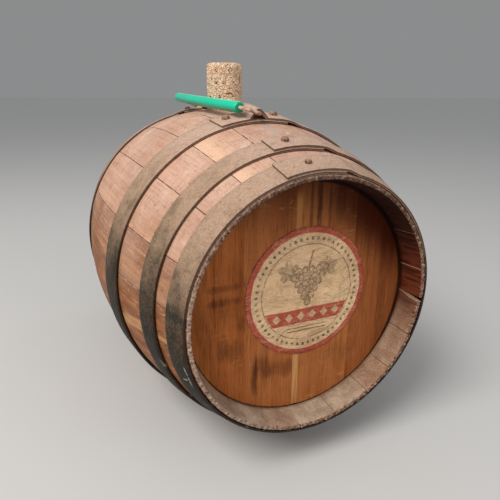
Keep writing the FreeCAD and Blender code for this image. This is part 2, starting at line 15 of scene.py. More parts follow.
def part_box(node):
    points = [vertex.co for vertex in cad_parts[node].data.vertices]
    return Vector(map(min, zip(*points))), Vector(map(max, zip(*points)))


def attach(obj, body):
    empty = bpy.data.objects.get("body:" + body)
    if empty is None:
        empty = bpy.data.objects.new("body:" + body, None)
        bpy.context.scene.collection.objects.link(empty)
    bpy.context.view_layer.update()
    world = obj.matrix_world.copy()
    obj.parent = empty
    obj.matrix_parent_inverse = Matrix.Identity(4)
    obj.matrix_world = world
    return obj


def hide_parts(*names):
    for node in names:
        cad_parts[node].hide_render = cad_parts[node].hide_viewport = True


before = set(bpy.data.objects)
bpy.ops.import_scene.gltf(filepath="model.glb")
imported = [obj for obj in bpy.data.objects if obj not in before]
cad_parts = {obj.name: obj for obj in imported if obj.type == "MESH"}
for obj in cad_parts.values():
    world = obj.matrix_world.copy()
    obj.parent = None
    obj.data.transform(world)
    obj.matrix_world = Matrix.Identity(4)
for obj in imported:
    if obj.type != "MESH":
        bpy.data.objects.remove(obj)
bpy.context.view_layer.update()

MM = 0.001
HAIR = 0.01 * MM             # a length too small to see
TURN = 2 * math.pi

# Cask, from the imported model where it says.
HALF_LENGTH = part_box("bung_stave")[1].y
BILGE_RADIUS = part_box("bung_stave")[1].z / 2
AXIS_HEIGHT = BILGE_RADIUS
END_RADIUS = 73.6 * MM
BILGE_WALL = 10 * MM
CHIME_LAND = 1.8 * MM
CHIME_DEPTH = 17 * MM
LIP_RADIUS = 70 * MM
CROZE_DEPTH = 4 * MM
CROZE_WIDTH = 6 * MM

# Widths of the staves, in parts of the girth, clockwise from the one with the bung.
STAVE_WIDTHS = (46, 41, 41, 35, 26, 34, 34, 28, 34, 34, 30, 32, 39, 32, 27, 31, 35, 30, 28)

# Strap hoops: setback of the outer edge from the cask's end, width, lap angle, rivet angles. The
# rear straps are the front ones turned end for end, so their angles run the other way round.
STRAP_THICKNESS = 1.4 * MM
STRAP_GAP = 0.25 * MM
STRAP_FLARE = 0.35 * MM
LAP_GAP = 0.1 * MM
LAP_TAIL_ANGLE = 9.5
RAMP_ANGLE = 7.0
HOOPS = {
    "chime": (0.8 * MM, 14 * MM, 16.2, (-4.6,)),
    "quarter": (25.3 * MM, 14.5 * MM, 11.0, (-4.2,)),
    "bilge": (71 * MM, 20.5 * MM, 16.5, (-12.5, 6.1)),
}
BRIDGE_ANGLE = -2.2
BRIDGE_HALF_MOUTH = 5.8 * MM
BRIDGE_RISE = 5.6 * MM
BRIDGE_CROWN = 2.0 * MM
RIVET_HEAD_RADIUS = 2.45 * MM
RIVET_HEAD_HEIGHT = 2.7 * MM

# How much of a full head the rivets of each kind of hoop have.
RIVET_SHARES = {"chime": 0.74, "quarter": 0.86, "bilge": 1.0}

SWEEP_RISE = BILGE_RADIUS - END_RADIUS
SWEEP_RADIUS = (HALF_LENGTH ** 2 + SWEEP_RISE ** 2) / (2 * SWEEP_RISE)


def outer_radius(along):
    """Outside radius of the staves at a distance from the middle of the cask."""
    return BILGE_RADIUS - SWEEP_RADIUS + math.sqrt(SWEEP_RADIUS ** 2 - along ** 2)


# ---------------------------------------------------------------------------------------------
# Node graphs: one wrapper serves materials and geometry nodes


class Wire:
    """A socket on its way to another node; arithmetic on it adds Math nodes."""

    def __init__(self, graph, socket):
        self.graph = graph
        self.socket = socket

    def math(self, operation, *values):
        return self.graph.node("ShaderNodeMath", {"operation": operation}, dict(enumerate(values)))

    def __add__(self, other):
        return self.math("ADD", self, other)

    def __sub__(self, other):
        return self.math("SUBTRACT", self, other)

    def __rsub__(self, other):
        return self.math("SUBTRACT", other, self)

    def __mul__(self, other):
        return self.math("MULTIPLY", self, other)

    def __truediv__(self, other):
        return self.math("DIVIDE", self, other)

    def __pow__(self, other):
        return self.math("POWER", self, other)

    __radd__ = __add__
    __rmul__ = __mul__

    def least(self, other):
        return self.math("MINIMUM", self, other)

    def most(self, other):
        return self.math("MAXIMUM", self, other)

    def size(self):
        return self.math("ABSOLUTE", self)

    def off_middle(self):
        """How far the value is from the middle of the whole step that it lies in, 0 to 0.5."""
        return (self - self.math("FLOOR", self) - 0.5).size()

    def rising(self, low, high):
        """0 below low, 1 above high, a smooth step between; high may be the lower one."""
        return self.graph.node(
            "ShaderNodeMapRange", {"interpolation_type": "SMOOTHSTEP"},
            {0: self, 1: low, 2: high, 3: 0.0, 4: 1.0})

    def parts(self):
        """x, y and z of a vector."""
        made = self.graph.node("ShaderNodeSeparateXYZ", {}, {0: self}).socket.node
        return [Wire(self.graph, socket) for socket in made.outputs]


def span(one, other):
    """The long side of a right-angled triangle."""
    return (one * one + other * other) ** 0.5


def highest(wires):
    """The highest of several wires."""
    result = wires[0]
    for wire in wires[1:]:
        result = result.most(wire)
    return result


class Graph:
    """A node tree; node() adds all of its nodes but those where it begins and ends."""

    def __init__(self, tree):
        self.tree = tree

    def node(self, kind, settings=None, inputs=None, output=0):
        made = self.tree.nodes.new(kind)
        for name, value in (settings or {}).items():
            if name == "stops":
                set_stops(made.color_ramp, value)
            else:
                setattr(made, name, value)
        for name, value in (inputs or {}).items():
            if isinstance(value, Wire):
                self.tree.links.new(value.socket, made.inputs[name])
            else:
                made.inputs[name].default_value = value
        return Wire(self, made.outputs[output])

    def vector(self, x, y, z):
        return self.node("ShaderNodeCombineXYZ", {}, {0: x, 1: y, 2: z})

    def noise(self, place, scale, detail=3.0, roughness=0.5, distortion=0.0):
        return self.node("ShaderNodeTexNoise", {"noise_dimensions": "3D"},
                         {"Vector": place, "Scale": scale, "Detail": detail,
                          "Roughness": roughness, "Distortion": distortion})


def set_stops(ramp, stops):
    """Gives a colour ramp its stops, each a place and a colour."""
    while len(ramp.elements) < len(stops):
        ramp.elements.new(0.5)
    for element, (place, colour) in zip(ramp.elements, stops):
        element.position = place
        element.color = linear(colour)


def linear(colour):
    """A colour as nodes take it: a wire as it is, three screen levels of 0 to 255 made linear."""
    if isinstance(colour, Wire):
        return colour
    levels = [level / 255 for level in colour]
    made = [level / 12.92 if level <= 0.04045 else ((level + 0.055) / 1.055) ** 2.4
            for level in levels]
    return (*made, 1.0)


class Paint(Graph):
    """A material under construction. A colour is a wire, or three screen levels of 0 to 255."""

    def __init__(self, name):
        self.material = bpy.data.materials.new(name)
        self.material.use_nodes = True
        self.material.node_tree.nodes.clear()
        super().__init__(self.material.node_tree)
        # where the surface is on the object, and which way it looks
        self.place = self.node("ShaderNodeTexCoord", output=3)
        self.facing = self.node("ShaderNodeNewGeometry", output=1).parts()
        self.facing_up = self.facing[2]

    def cloud(self, scale, detail=3.0, roughness=0.5, distortion=0.0):
        """Noise alike in every direction, fixed to the object."""
        return self.noise(self.place, scale, detail, roughness, distortion)

    def cells(self, place, scale, feature="F1", output=0):
        return self.node("ShaderNodeTexVoronoi", {"feature": feature},
                         {"Vector": place, "Scale": scale}, output)

    def mix(self, share, first, second):
        """The first colour with a share of the second."""
        return self.node("ShaderNodeMix", {"data_type": "RGBA"},
                         {0: share, 6: linear(first), 7: linear(second)}, output=2)

    def coats(self, colour, *coats):
        """A colour under thin coats, each a share and the coat's own colour."""
        for share, coat in coats:
            colour = self.mix(share, colour, coat)
        return colour

    def ramp(self, value, *stops):
        return self.node("ShaderNodeValToRGB", {"stops": stops}, {0: value})

    def stretched(self, x, y, z):
        """The place on the object, with each direction scaled."""
        return self.node("ShaderNodeVectorMath", {"operation": "MULTIPLY"},
                         {0: self.place, 1: (x, y, z)})

    def bump(self, height, distance, strength):
        return self.node("ShaderNodeBump", {},
                         {"Strength": strength, "Distance": distance, "Height": height})

    def finish(self, colour, roughness, normal=None, metallic=0.0, shine=0.5, coat=0.0):
        """The finished material; shine is the strength of its plain reflections."""
        inputs = {"Base Color": linear(colour), "Roughness": roughness, "Metallic": metallic,
                  "Specular IOR Level": shine, "Coat Weight": coat, "Coat Roughness": 0.2}
        if normal is not None:
            inputs["Normal"] = normal
        surface = self.node("ShaderNodeBsdfPrincipled", {}, inputs)
        out = self.tree.nodes.new("ShaderNodeOutputMaterial")
        self.tree.links.new(surface.socket, out.inputs[0])
        return self.material


# ---------------------------------------------------------------------------------------------
# Stave wood

DUST = (212, 176, 156)
# Dark grime of the joints, also used for painted shade in the open joint.
GRIME_AND_SHADE = (38, 20, 12)
BARE_WOOD = (232, 184, 142)
SAPWOOD_ANGLE = -96.9
SMEAR_ANGLE = -0.5

# These turn an angle round the cask into a length, for the grain of the staves and of their ends.
GRAIN_RADIUS = 90 * MM
CHIME_GRAIN_RADIUS = 75 * MM


def about_axis(paint, turned_to):
    """Angle from a direction, in radians, distance along the axis and distance from it."""
    across, along, up = paint.place.parts()
    up = up - AXIS_HEIGHT
    turn = math.radians(turned_to)
    sideways = across * math.cos(turn) - up * math.sin(turn)
    ahead = across * math.sin(turn) + up * math.cos(turn)
    angle = sideways.math("ARCTAN2", sideways, ahead)
    return angle, along, span(across, up)


def bare_stave(paint, arc, along, radius, fibres, tone, streak):
    """The wood without its dust: bands, dark and pale fibres, pale drifts."""
    drift = paint.noise(paint.vector(arc, along * 0.35, radius), 34.0, 4.0, 0.6)
    bands = paint.noise(paint.vector(arc, along * 0.03, radius * 0.2), 150.0, 3.0, 0.55, 0.6)
    return paint.coats(
        tone,
        (bands.rising(0.36, 0.66), streak),
        ((1 - fibres.rising(0.32, 0.52)) * 0.7, streak),
        (fibres.rising(0.56, 0.70) * 0.45, BARE_WOOD),
        (drift.rising(0.46, 0.72) * 0.22, BARE_WOOD))


def stave_dust(paint, fibres, patches, specks):
    """Colour of the dust: speckled, clouded, brown over dark fibres and pale in patches."""
    clouds = paint.cloud(17.0, 3.0, 0.5)
    return paint.coats(
        DUST,
        (specks.rising(0.44, 0.68) * 0.5, (174, 132, 112)),
        (clouds.rising(0.46, 0.64) * 0.45, (176, 140, 122)),
        ((1 - fibres.rising(0.28, 0.50)) * 0.45, (162, 120, 100)),
        (patches.rising(0.56, 0.72) * 0.5, (232, 202, 180)))


def rubbed_edge(angle, along, patches, half_angle, bare_edge):
    """How bare the stave is beside one joint of its front end, whose side bare_edge gives."""
    edge = (angle * (math.copysign(1, bare_edge) / math.radians(half_angle))
            + (patches - 0.5) * 1.4).rising(-0.25, 0.75)
    return edge * along.rising(-55 * MM, -72 * MM) * abs(bare_edge)


def sapwood_streak(paint):
    """1 on a pale streak low on the left of the front half, slanting across two staves."""
    angle, along, radius = about_axis(paint, SAPWOOD_ANGLE)
    place = paint.vector(angle * GRAIN_RADIUS, along * 0.12, radius)
    ragged = paint.noise(place, 300.0, 3.0, 0.6) - 0.5
    slants_after = 97 * MM
    slant = (along.most(-slants_after) + slants_after) * 2.06
    narrowing = along.rising(-98 * MM, -114 * MM) * 0.022
    streak = ((angle + slant + ragged * 0.02).size() + narrowing).rising(0.050, 0.030)
    return streak * along.rising(-52 * MM, -64 * MM)


def grey_smear(paint):
    """1 on a soft grey smear on the top stave, between the front bilge and quarter hoops."""
    angle, along, radius = about_axis(paint, SMEAR_ANGLE)
    ragged = paint.cloud(210.0, 3.0, 0.6) - 0.5
    turns_after = 84 * MM
    turning = (-turns_after - along).most(0.0) * 0.5
    off = (angle * radius + turning + ragged * (3 * MM)).size()
    smear = off.rising(4.0 * MM, 0.3 * MM) * along.rising(-64 * MM, -70 * MM)
    return smear * along.rising(-97 * MM, -88 * MM)


def joint_line_and_gap_shade(paint, angle, along, radius, half_angle, open_joint):
    """1 on a stave's two joints, with breaks in the line; an open one is wide at the front, its
    side face painted dark as shade in the gap.
    """
    gap = (math.radians(half_angle) - angle.size()) * radius
    wander = paint.noise(paint.vector(0.0, along, 0.0), 160.0, 2.0)
    joint = gap.rising(0.42 * MM, 0.05 * MM) * (0.35 + 0.65 * wander.rising(0.38, 0.52))
    if open_joint:
        # painted shade on the side face of the open joint
        painted_gap_shade = gap.rising(2.2 * MM, 1.7 * MM) * along.rising(-118 * MM, -124 * MM)
        joint = joint.most(painted_gap_shade)
    return joint


def stave_wood(name, centre, half_angle, tone, streak, bare_edge, open_joint, sapwood, smeared):
    """Bare wood bent lengthwise: fibres along the stave, dust on top, grime in the joints."""
    paint = Paint(name)
    angle, along, radius = about_axis(paint, centre)
    arc = angle * GRAIN_RADIUS + centre * 0.37
    fibres = paint.noise(paint.vector(arc, along * 0.035, radius * 0.35), 760.0, 4.0, 0.62, 0.25)
    pores = paint.noise(paint.vector(arc, along * 0.10, radius), 2200.0, 2.0, 0.6)
    patches = paint.cloud(48.0, 5.0, 0.62)
    specks = paint.cloud(1100.0, 3.0, 0.7)

    wood = bare_stave(paint, arc, along, radius, fibres, tone, streak)
    dust = paint.facing_up.rising(0.0, 0.72) * (0.45 + 0.55 * patches.rising(0.30, 0.60))
    if bare_edge:
        bare = rubbed_edge(angle, along, patches, half_angle, bare_edge)
        wood = paint.mix(bare * 0.8, wood, (236, 194, 162))
        dust = dust * (1 - bare * 0.65)
    saw_marks = paint.noise(paint.vector(arc * 0.12, along, radius * 0.1), 520.0, 2.0, 0.6, 0.3)
    nicks = paint.noise(paint.vector(arc * 0.8, along * 0.5, radius), 640.0, 3.0, 0.75)
    colour = paint.coats(
        wood,
        (dust * 0.86, stave_dust(paint, fibres, patches, specks)),
        (saw_marks.rising(0.58, 0.70) * 0.28, (136, 88, 64)),
        (nicks.rising(0.60, 0.68) * 0.26, (228, 198, 176)),
        (nicks.rising(0.41, 0.33) * 0.50, (112, 70, 50)))
    if smeared:
        colour = paint.mix(grey_smear(paint) * 0.45, colour, (164, 160, 152))
    if sapwood:
        colour = paint.mix(sapwood_streak(paint) * 0.55, colour, (202, 152, 104))
    joint = joint_line_and_gap_shade(paint, angle, along, radius, half_angle, open_joint)
    flecks = paint.cells(paint.stretched(1.0, 0.7, 1.0), 120.0).rising(0.13, 0.07)
    chosen = paint.cloud(43.0, 2.0).rising(0.60, 0.65)
    colour = paint.coats(
        colour,
        # grime in the joints, and painted shade in the open joint
        (joint * 0.9, GRIME_AND_SHADE),
        (flecks * chosen * 0.75, (232, 220, 202)))

    shade = 0.5 + 0.5 * math.sin(2.3 * centre)
    chime_dust, colour = chime_finish(paint, angle, along, radius, colour, shade)
    normal = paint.bump(fibres * 0.5 + pores * 0.22 + specks * 0.28, 0.5 * MM, 0.55)
    return paint.finish(colour, 0.62 + dust * 0.26 + chime_dust * 0.1, normal, shine=0.25)


def chime_finish(paint, angle, along, radius, outside, shade):
    """The inside of the chime, with dust where it can lie and painted shade where it lies bare, and
    the ragged end grain, paler at the lower left as painted light.

    Gives the share of dust inside the chime, and the stave's colour with all this on it.
    """
    end = HALF_LENGTH - along.size()
    across, _, up = paint.place.parts()
    height = (up - AXIS_HEIGHT) / END_RADIUS
    arc = angle * CHIME_GRAIN_RADIUS
    inside = (radius - (END_RADIUS + 0.3 * MM)).rising(0.2 * MM, -0.8 * MM)
    inside = inside * end.rising(CHIME_DEPTH + 4 * MM, CHIME_DEPTH + 2 * MM)
    grain = paint.noise(paint.vector(arc, along * 0.12, radius * 0.1), 420.0, 4.0, 0.6)
    # Where no dust lies: dark red-brown wood, darker still towards the top, both painted shade; the
    # grain is the wood's own.
    undusted_in_painted_shade = paint.coats(
        (58, 16, 4),
        (grain.rising(0.34, 0.62), (104, 48, 25)),
        (height.rising(0.10, 0.62) * 0.80, (26, 9, 4)))
    mottled = paint.cloud(95.0, 5.0, 0.6)
    powder = paint.cloud(1300.0, 3.0, 0.7)
    dust = paint.facing_up.rising(0.0, 0.52) * (0.76 + 0.24 * mottled.rising(0.34, 0.6))
    brown = 0.12 + 0.30 * shade + 0.45 * across.rising(15 * MM, 62 * MM)
    dusty = paint.coats(
        (170, 150, 126),
        (mottled.rising(0.36, 0.66), (190, 172, 148)),
        ((1 - grain.rising(0.30, 0.48)) * 0.25, (140, 112, 92)),
        (brown, (150, 106, 78)),
        (powder.rising(0.52, 0.66) * 0.5, (216, 198, 178)),
        (powder.rising(0.46, 0.34) * 0.4, (144, 118, 96)))
    # darker where the inside of the chime meets the head
    dark_by_head = end + (mottled - 0.5) * (1.2 * MM)
    dark_by_head = dark_by_head.rising(CHIME_DEPTH - 0.6 * MM, CHIME_DEPTH + 0.3 * MM)
    inner = paint.coats(undusted_in_painted_shade, (dust * 0.94, dusty), (dark_by_head * 0.9, GRIME_AND_SHADE))
    colour = paint.mix(inside, outside, inner)

    torn = paint.noise(paint.vector(arc, along * 0.6, radius * 0.5), 1100.0, 4.0, 0.75)
    clumps = paint.noise(paint.vector(arc, along, radius), 500.0, 4.0, 0.7)
    # paler end grain at the lower left is painted light
    painted_light_left = across.rising(0.0, -50 * MM) * (1 - height.rising(0.20, 0.70))
    ragged = paint.coats(
        (96, 62, 46),
        (torn.rising(0.40, 0.60), (158, 120, 96)),
        (clumps.rising(0.53, 0.62) * 0.8, (212, 184, 160)),
        (painted_light_left * 0.55, (190, 166, 146)),
        (clumps.rising(0.45, 0.37) * 0.8, (50, 26, 16)),
        (height.rising(0.30, 0.85) * 0.55, (62, 36, 26)))
    frayed = (end + (clumps - 0.5) * (2.6 * MM)).rising(1.5 * MM, 0.6 * MM)
    return dust * inside, paint.mix(frayed * 0.9, colour, ragged)


# ---------------------------------------------------------------------------------------------
# Steel

# Long scratches low on the front hoops: degrees from the top and millimetres along, at each end.
HOOP_SCRATCHES = (
    ((-106.6, -111.5), (-110.9, -115.0)),
    ((-102.9, -134.4), (-107.6, -135.6)),
    ((-107.4, -135.4), (-113.6, -135.0)),
    ((-111.0, -128.6), (-110.0, -133.9)),
)


def cut_edge_rust_and_shade(paint):
    """1 on faces that stand up from the cask's surface, such as the cut edges of a strap; these are
    darkened for rust and painted shade.
    """
    across, _, up = paint.place.parts()
    up = up - AXIS_HEIGHT
    away = (paint.facing[0] * across + paint.facing[2] * up) / span(across, up)
    return away.size().rising(0.55, 0.25)


def long_scratches(paint):
    """1 on the long scratches, which are a little ragged and fade out at their ends."""
    turned_to = HOOP_SCRATCHES[0][0][0]
    angle, along, _ = about_axis(paint, turned_to)
    girth = END_RADIUS + STRAP_THICKNESS
    ragged = (paint.cloud(420.0, 2.0) - 0.5) * (1.1 * MM)
    fade = 2 * MM
    lines = []
    for ends in HOOP_SCRATCHES:
        first, last = [Vector((math.radians(turn - turned_to) * girth, reach * MM))
                       for turn, reach in ends]
        length = (last - first).length
        lead = (last - first) / length
        round_from = angle * girth - first.x
        along_from = along - first.y
        run = round_from * lead.x + along_from * lead.y
        off = (along_from * lead.x - round_from * lead.y + ragged).size()
        lines.append(off.rising(0.75 * MM, 0.25 * MM)
                     * run.rising(0.0, fade) * run.rising(length, length - fade))
    return highest(lines)


def hoop_marks(paint, height, mottle, grit):
    """Scratches low on the straps, and pale dents, each as a share and a colour."""
    hairs = paint.noise(paint.stretched(1.0, 0.6, 1.0), 70.0, 2.0, 0.6, 0.8)
    hairs = (hairs - 0.5).size().rising(0.014, 0.002) * mottle.rising(0.46, 0.54)
    hairs = hairs * height.rising(-0.30, -0.60)
    scratches = (hairs * 0.6).most(long_scratches(paint) * (0.35 + 0.6 * grit.rising(0.36, 0.56)))
    dents = paint.cells(paint.stretched(1.0, 1.6, 0.7), 75.0).rising(0.16, 0.06)
    chosen = paint.cloud(33.0, 2.0).rising(0.58, 0.64)
    return (scratches, (176, 172, 158)), (dents * chosen * 0.6, (200, 192, 176))


def hoop_steel(name, dark_below, dusty_above):
    """Strap steel: brown dust on top, grey lower down, green-black and rust underneath; the
    darkening towards the bottom is partly painted shade.

    The dust has given out, and the dark underside with its painted shade is whole, at the first
    height; the dust is whole at the second. Both are heights over the axis, as shares of the bilge
    radius.
    """
    paint = Paint(name)
    height = (paint.place.parts()[2] - AXIS_HEIGHT) / BILGE_RADIUS
    mottle = paint.cloud(70.0, 5.0, 0.6)
    fine = paint.cloud(900.0, 4.0, 0.7)
    pits = paint.cloud(380.0, 5.0, 0.75)
    grit = paint.cloud(980.0, 3.0, 0.75)
    cloud = paint.cloud(150.0, 5.0, 0.7)
    # Share of dust by height: dust on top, grey steel with painted shade below.
    dust_and_shade = (height + (mottle - 0.5) * 0.5).rising(dark_below, dusty_above)
    grey = 1 - dust_and_shade
    light = 0.25 + 0.75 * dust_and_shade
    patina = 0.10 + 0.90 * grey
    specks = patina * (0.20 + 1.2 * dust_and_shade).least(0.55)
    rust = pits.rising(0.54, 0.64) * (0.30 + 0.26 * dust_and_shade.rising(0.75, 0.15))
    # dark green-black at the bottom, partly patina and partly painted shade, up to dusty brown at
    # the top
    ground = paint.ramp(dust_and_shade, (0.0, (22, 26, 22)), (0.22, (58, 49, 38)), (0.50, (134, 110, 88)),
                        (0.75, (171, 142, 117)), (1.0, (184, 153, 131)))
    colour = paint.coats(
        ground,
        (height.rising(0.70, 0.95) * 0.8, (207, 175, 156)),
        (fine.rising(0.42, 0.66) * light * 0.30, (104, 78, 62)),
        (fine.rising(0.46, 0.32) * light * 0.24, (216, 194, 176)),
        (grit.rising(0.51, 0.61) * specks, (108, 102, 84)),
        (grit.rising(0.48, 0.39) * patina * 0.70, (36, 25, 18)),
        (cloud.rising(0.52, 0.70) * light * 0.35, (128, 92, 74)),
        (cloud.rising(0.46, 0.34) * light * 0.24, (178, 162, 140)),
        (mottle.rising(0.52, 0.36) * grey * 0.6, (30, 40, 34)),
        (rust, (104, 58, 38)),
        *hoop_marks(paint, height, mottle, grit),
        # cut edges darkened: rust, and painted shade along the strap's edge
        (cut_edge_rust_and_shade(paint) * 0.85, (62, 42, 32)))
    normal = paint.bump(mottle * 0.45 + pits * 0.3 + fine * 0.25, 0.4 * MM, 0.55)
    return paint.finish(colour, 0.62 + dust_and_shade * 0.23, normal, metallic=grey * 0.15, shine=0.14)


def rivet_steel():
    """Hammered rivet heads: rusty and pitted, with a little dust on top."""
    paint = Paint("rivet_steel")
    pits = paint.cloud(480.0, 4.0, 0.7)
    colour = paint.coats(
        (92, 62, 48),
        (pits.rising(0.36, 0.64), (166, 126, 106)),
        (paint.facing_up.rising(0.3, 0.98) * 0.25, DUST))
    return paint.finish(colour, 0.78, paint.bump(pits, 0.5 * MM, 0.7), metallic=0.15)


def bail_steel():
    """Bare wire, dull, with brown blotches."""
    paint = Paint("bail_steel")
    blotch = paint.cloud(300.0, 4.0, 0.65)
    colour = paint.coats(
        (204, 178, 156),
        (blotch.rising(0.40, 0.62), (150, 112, 86)),
        (blotch.rising(0.62, 0.70) * 0.6, (96, 58, 40)))
    return paint.finish(colour, 0.6, paint.bump(blotch, 0.2 * MM, 0.5), metallic=0.1)


# ---------------------------------------------------------------------------------------------
# Head boards

# Dark stains on the front head, and a painted shade down its left edge: across and up from its
# middle, half width and half height, all in millimetres, and strength.
HEAD_STAINS_AND_SHADE = (
    (-30, -44, 2.5, 14, 0.70),
    (-25, -39, 9, 7, 0.40),
    (-10, -42, 12, 6, 0.45),
    (8, 56, 2.0, 22, 0.80),
    (3, 52, 1.2, 24, 0.55),
    (15, 50, 1.4, 18, 0.55),
    (22, 60, 5, 16, 0.50),
    (-47, 3, 9, 9, 0.35),
    # painted shade along the left edge of the head
    (-63, 0, 7, 46, 0.40),
    (-49, -21, 5, 8, 0.35),
    (-24, -38, 3.5, 16, 0.35),
    (-37, -7, 4, 6, 0.35),
    (-48, 15, 15, 2.2, 0.45),
    (-46, 7, 16, 2.6, 0.50),
    (-44, -24, 8, 7, 0.40),
)


def pale_streak(across, up, wave):
    """A pale streak down the front head, above the label."""
    streak = (across + 4.2 * MM + wave * (0.8 * MM)).size().rising(2.4 * MM, 1.0 * MM)
    streak = streak * up.rising(30 * MM, 36 * MM) * up.rising(66 * MM, 56 * MM)
    return streak * 0.40, (206, 146, 84)


def stain_and_shade_coats(ragged, across, up):
    """The dark stains of the front head and the painted shade at its left edge, each as a share and
    a colour.
    """
    coats = []
    for place, height, half_width, half_height, strength in HEAD_STAINS_AND_SHADE:
        wide = (across - place * MM) / (half_width * MM)
        tall = (up - height * MM) / (half_height * MM)
        dark_patch = (wide * wide + tall * tall + ragged).rising(1.5, -0.4)
        coats.append((dark_patch * strength, (46, 16, 12)))
    return coats


def rim_grime_and_shadow(paint, across, up):
    """1 where the board meets the croze: a dark line there, widened at the upper right by painted
    shadow of the chime.
    """
    edge = paint.cloud(380.0, 3.0)
    shaded = (across + up).rising(-10 * MM, 60 * MM)
    reach = span(across, up) + (edge - 0.5) * (0.9 * MM) + shaded * (1.6 * MM)
    return reach.rising(LIP_RADIUS - 1.0 * MM, LIP_RADIUS)


def head_wood(name, left, right, tone, streak, seed, marked, painted_top_shade):
    """One varnished board of a head: upright grain, dark streaks, a dark line round the edge, and
    painted shade at the top, the right and the upper right.

    The marked boards, those of the front head, have its stains, the painted shade at its left edge
    and its pale streak.
    """
    paint = Paint(name)
    across, along, up = paint.place.parts()
    up = up - AXIS_HEIGHT
    wave = paint.noise(paint.vector(across + seed, 0.0, up * 0.25), 26.0, 2.0)
    bent = across + wave * 0.006 + seed
    grain = paint.noise(paint.vector(bent, along * 0.4, up * 0.03), 560.0, 5.0, 0.68)
    bands = paint.noise(paint.vector(bent, along, up * 0.05), 95.0, 3.0, 0.55)
    pores = paint.noise(paint.vector(across + seed, along * 0.4, up * 0.05), 1500.0, 3.0, 0.7)
    # Painted shadow of the chime over the upper right of the head; the rubbed wear and the film are
    # kept out of it.
    painted_shadow = up + across.most(0.0) * 0.75 + (bands - 0.5) * (26 * MM) + (grain - 0.5) * (10 * MM)
    painted_shadow = painted_shadow.rising(42 * MM, 76 * MM) * (0.55 + 0.37 * across.rising(10 * MM, 40 * MM))
    outside_painted_shadow = 1 - painted_shadow
    rubbed = paint.noise(paint.vector(across, along, up * 2.6), 150.0, 4.0, 0.75)
    rubbed = rubbed.rising(0.56, 0.66) * paint.cloud(24.0, 2.0).rising(0.50, 0.60)
    scored = paint.noise(paint.vector(across * 0.25, along, up * 4.0), 330.0, 3.0, 0.7)
    colour = paint.coats(
        tone,
        (bands.rising(0.36, 0.68) * 0.55, streak),
        ((1 - grain.rising(0.28, 0.50)) * 0.50, (82, 36, 12)),
        (grain.rising(0.54, 0.70) * 0.40, (196, 128, 68)),
        (pores.rising(0.56, 0.68) * 0.50, (190, 122, 66)),
        (pores.rising(0.44, 0.32) * 0.50, (78, 34, 14)),
        # painted shade towards the top of the board
        (up.rising(26 * MM, 74 * MM) * painted_top_shade, (50, 14, 3)),
        # painted shade down the right side of the head
        (across.rising(40 * MM, 60 * MM) * 0.20, (64, 20, 5)),
        # the painted shadow at the upper right
        (painted_shadow, (56, 12, 1)),
        (rubbed * outside_painted_shadow * 0.30, (212, 158, 108)),
        (scored.rising(0.60, 0.70) * 0.28, (66, 28, 14)),
        (up.rising(10 * MM, -60 * MM) * 0.15, (186, 116, 60)))
    if marked:
        colour = paint.coats(colour, pale_streak(across, up, wave))
    blotch = paint.noise(paint.vector(across + seed, along, up * 0.6), 30.0, 4.0, 0.62)
    colour = paint.mix(blotch.rising(0.54, 0.74) * 0.35, colour, (62, 24, 12))
    if marked:
        ragged = paint.noise(paint.vector(bent, along, up * 0.14), 240.0, 5.0, 0.75) - 0.5
        colour = paint.coats(colour, *stain_and_shade_coats(ragged * 4.5, across, up))

    joint = (across - left).size().least((right - across).size()).rising(0.7 * MM, 0.1 * MM)
    film = paint.cloud(75.0, 5.0, 0.65).rising(0.56, 0.76) * outside_painted_shadow * 0.12
    chosen = paint.cloud(51.0, 2.0).rising(0.64, 0.67)
    chips = paint.cells(paint.place, 105.0).rising(0.11, 0.06)
    chips = chips * chosen * up.rising(6 * MM, -10 * MM)
    colour = paint.coats(
        colour,
        (joint * 0.12, GRIME_AND_SHADE),
        # dark line at the croze, with painted shadow of the chime at the upper right
        (rim_grime_and_shadow(paint, across, up) * 0.85, (20, 10, 6)),
        (film, (200, 154, 112)),
        (chips * 0.9, (226, 196, 160)))
    normal = paint.bump(grain * 0.6 + pores * 0.25, 0.35 * MM, 0.4)
    return paint.finish(colour, 0.48 + grain * 0.12 + film, normal, shine=0.05)


def plain_wood(name, tone, streak):
    """Unvarnished wood with upright grain, for the inlay and the dowels."""
    paint = Paint(name)
    across, along, up = paint.place.parts()
    grain = paint.noise(paint.vector(across, along, up * 0.05), 700.0, 4.0, 0.6)
    blotch = paint.cloud(55.0, 4.0, 0.6)
    colour = paint.coats(
        streak,
        (grain.rising(0.35, 0.62), tone),
        (blotch.rising(0.5, 0.7) * 0.4, streak))
    return paint.finish(colour, 0.6, paint.bump(grain, 0.3 * MM, 0.5))


# ---------------------------------------------------------------------------------------------
# Cork and plastic

CRUMBS = 500.0               # crumbs of the cork to a metre


def crumb_cork():
    """Pressed cork crumbs: angular grains of different tans with dark pits between them."""
    paint = Paint("crumb_cork")
    warp = paint.cloud(260.0, 2.0)
    shift = paint.vector(warp * (1.6 * MM), warp * (-1.3 * MM), warp * MM)
    place = paint.node("ShaderNodeVectorMath", {"operation": "ADD"}, {0: paint.place, 1: shift})
    tan = paint.cells(place, CRUMBS, output=1).parts()[0]
    seams = paint.cells(place, CRUMBS, "DISTANCE_TO_EDGE")
    pits = paint.cloud(430.0, 3.0, 0.6)
    grains = paint.ramp(tan, (0.0, (228, 184, 146)), (0.30, (242, 206, 172)),
                        (0.62, (250, 219, 188)), (1.0, (234, 192, 156)))
    colour = paint.coats(
        grains,
        (seams.rising(0.14, 0.03) * 0.36, (158, 114, 84)),
        (pits.rising(0.58, 0.65) * 0.85, (108, 70, 46)))
    height = seams.rising(0.0, 0.22) - pits.rising(0.55, 0.68)
    return paint.finish(colour, 0.88, paint.bump(height, 0.7 * MM, 0.8), shine=0.2)


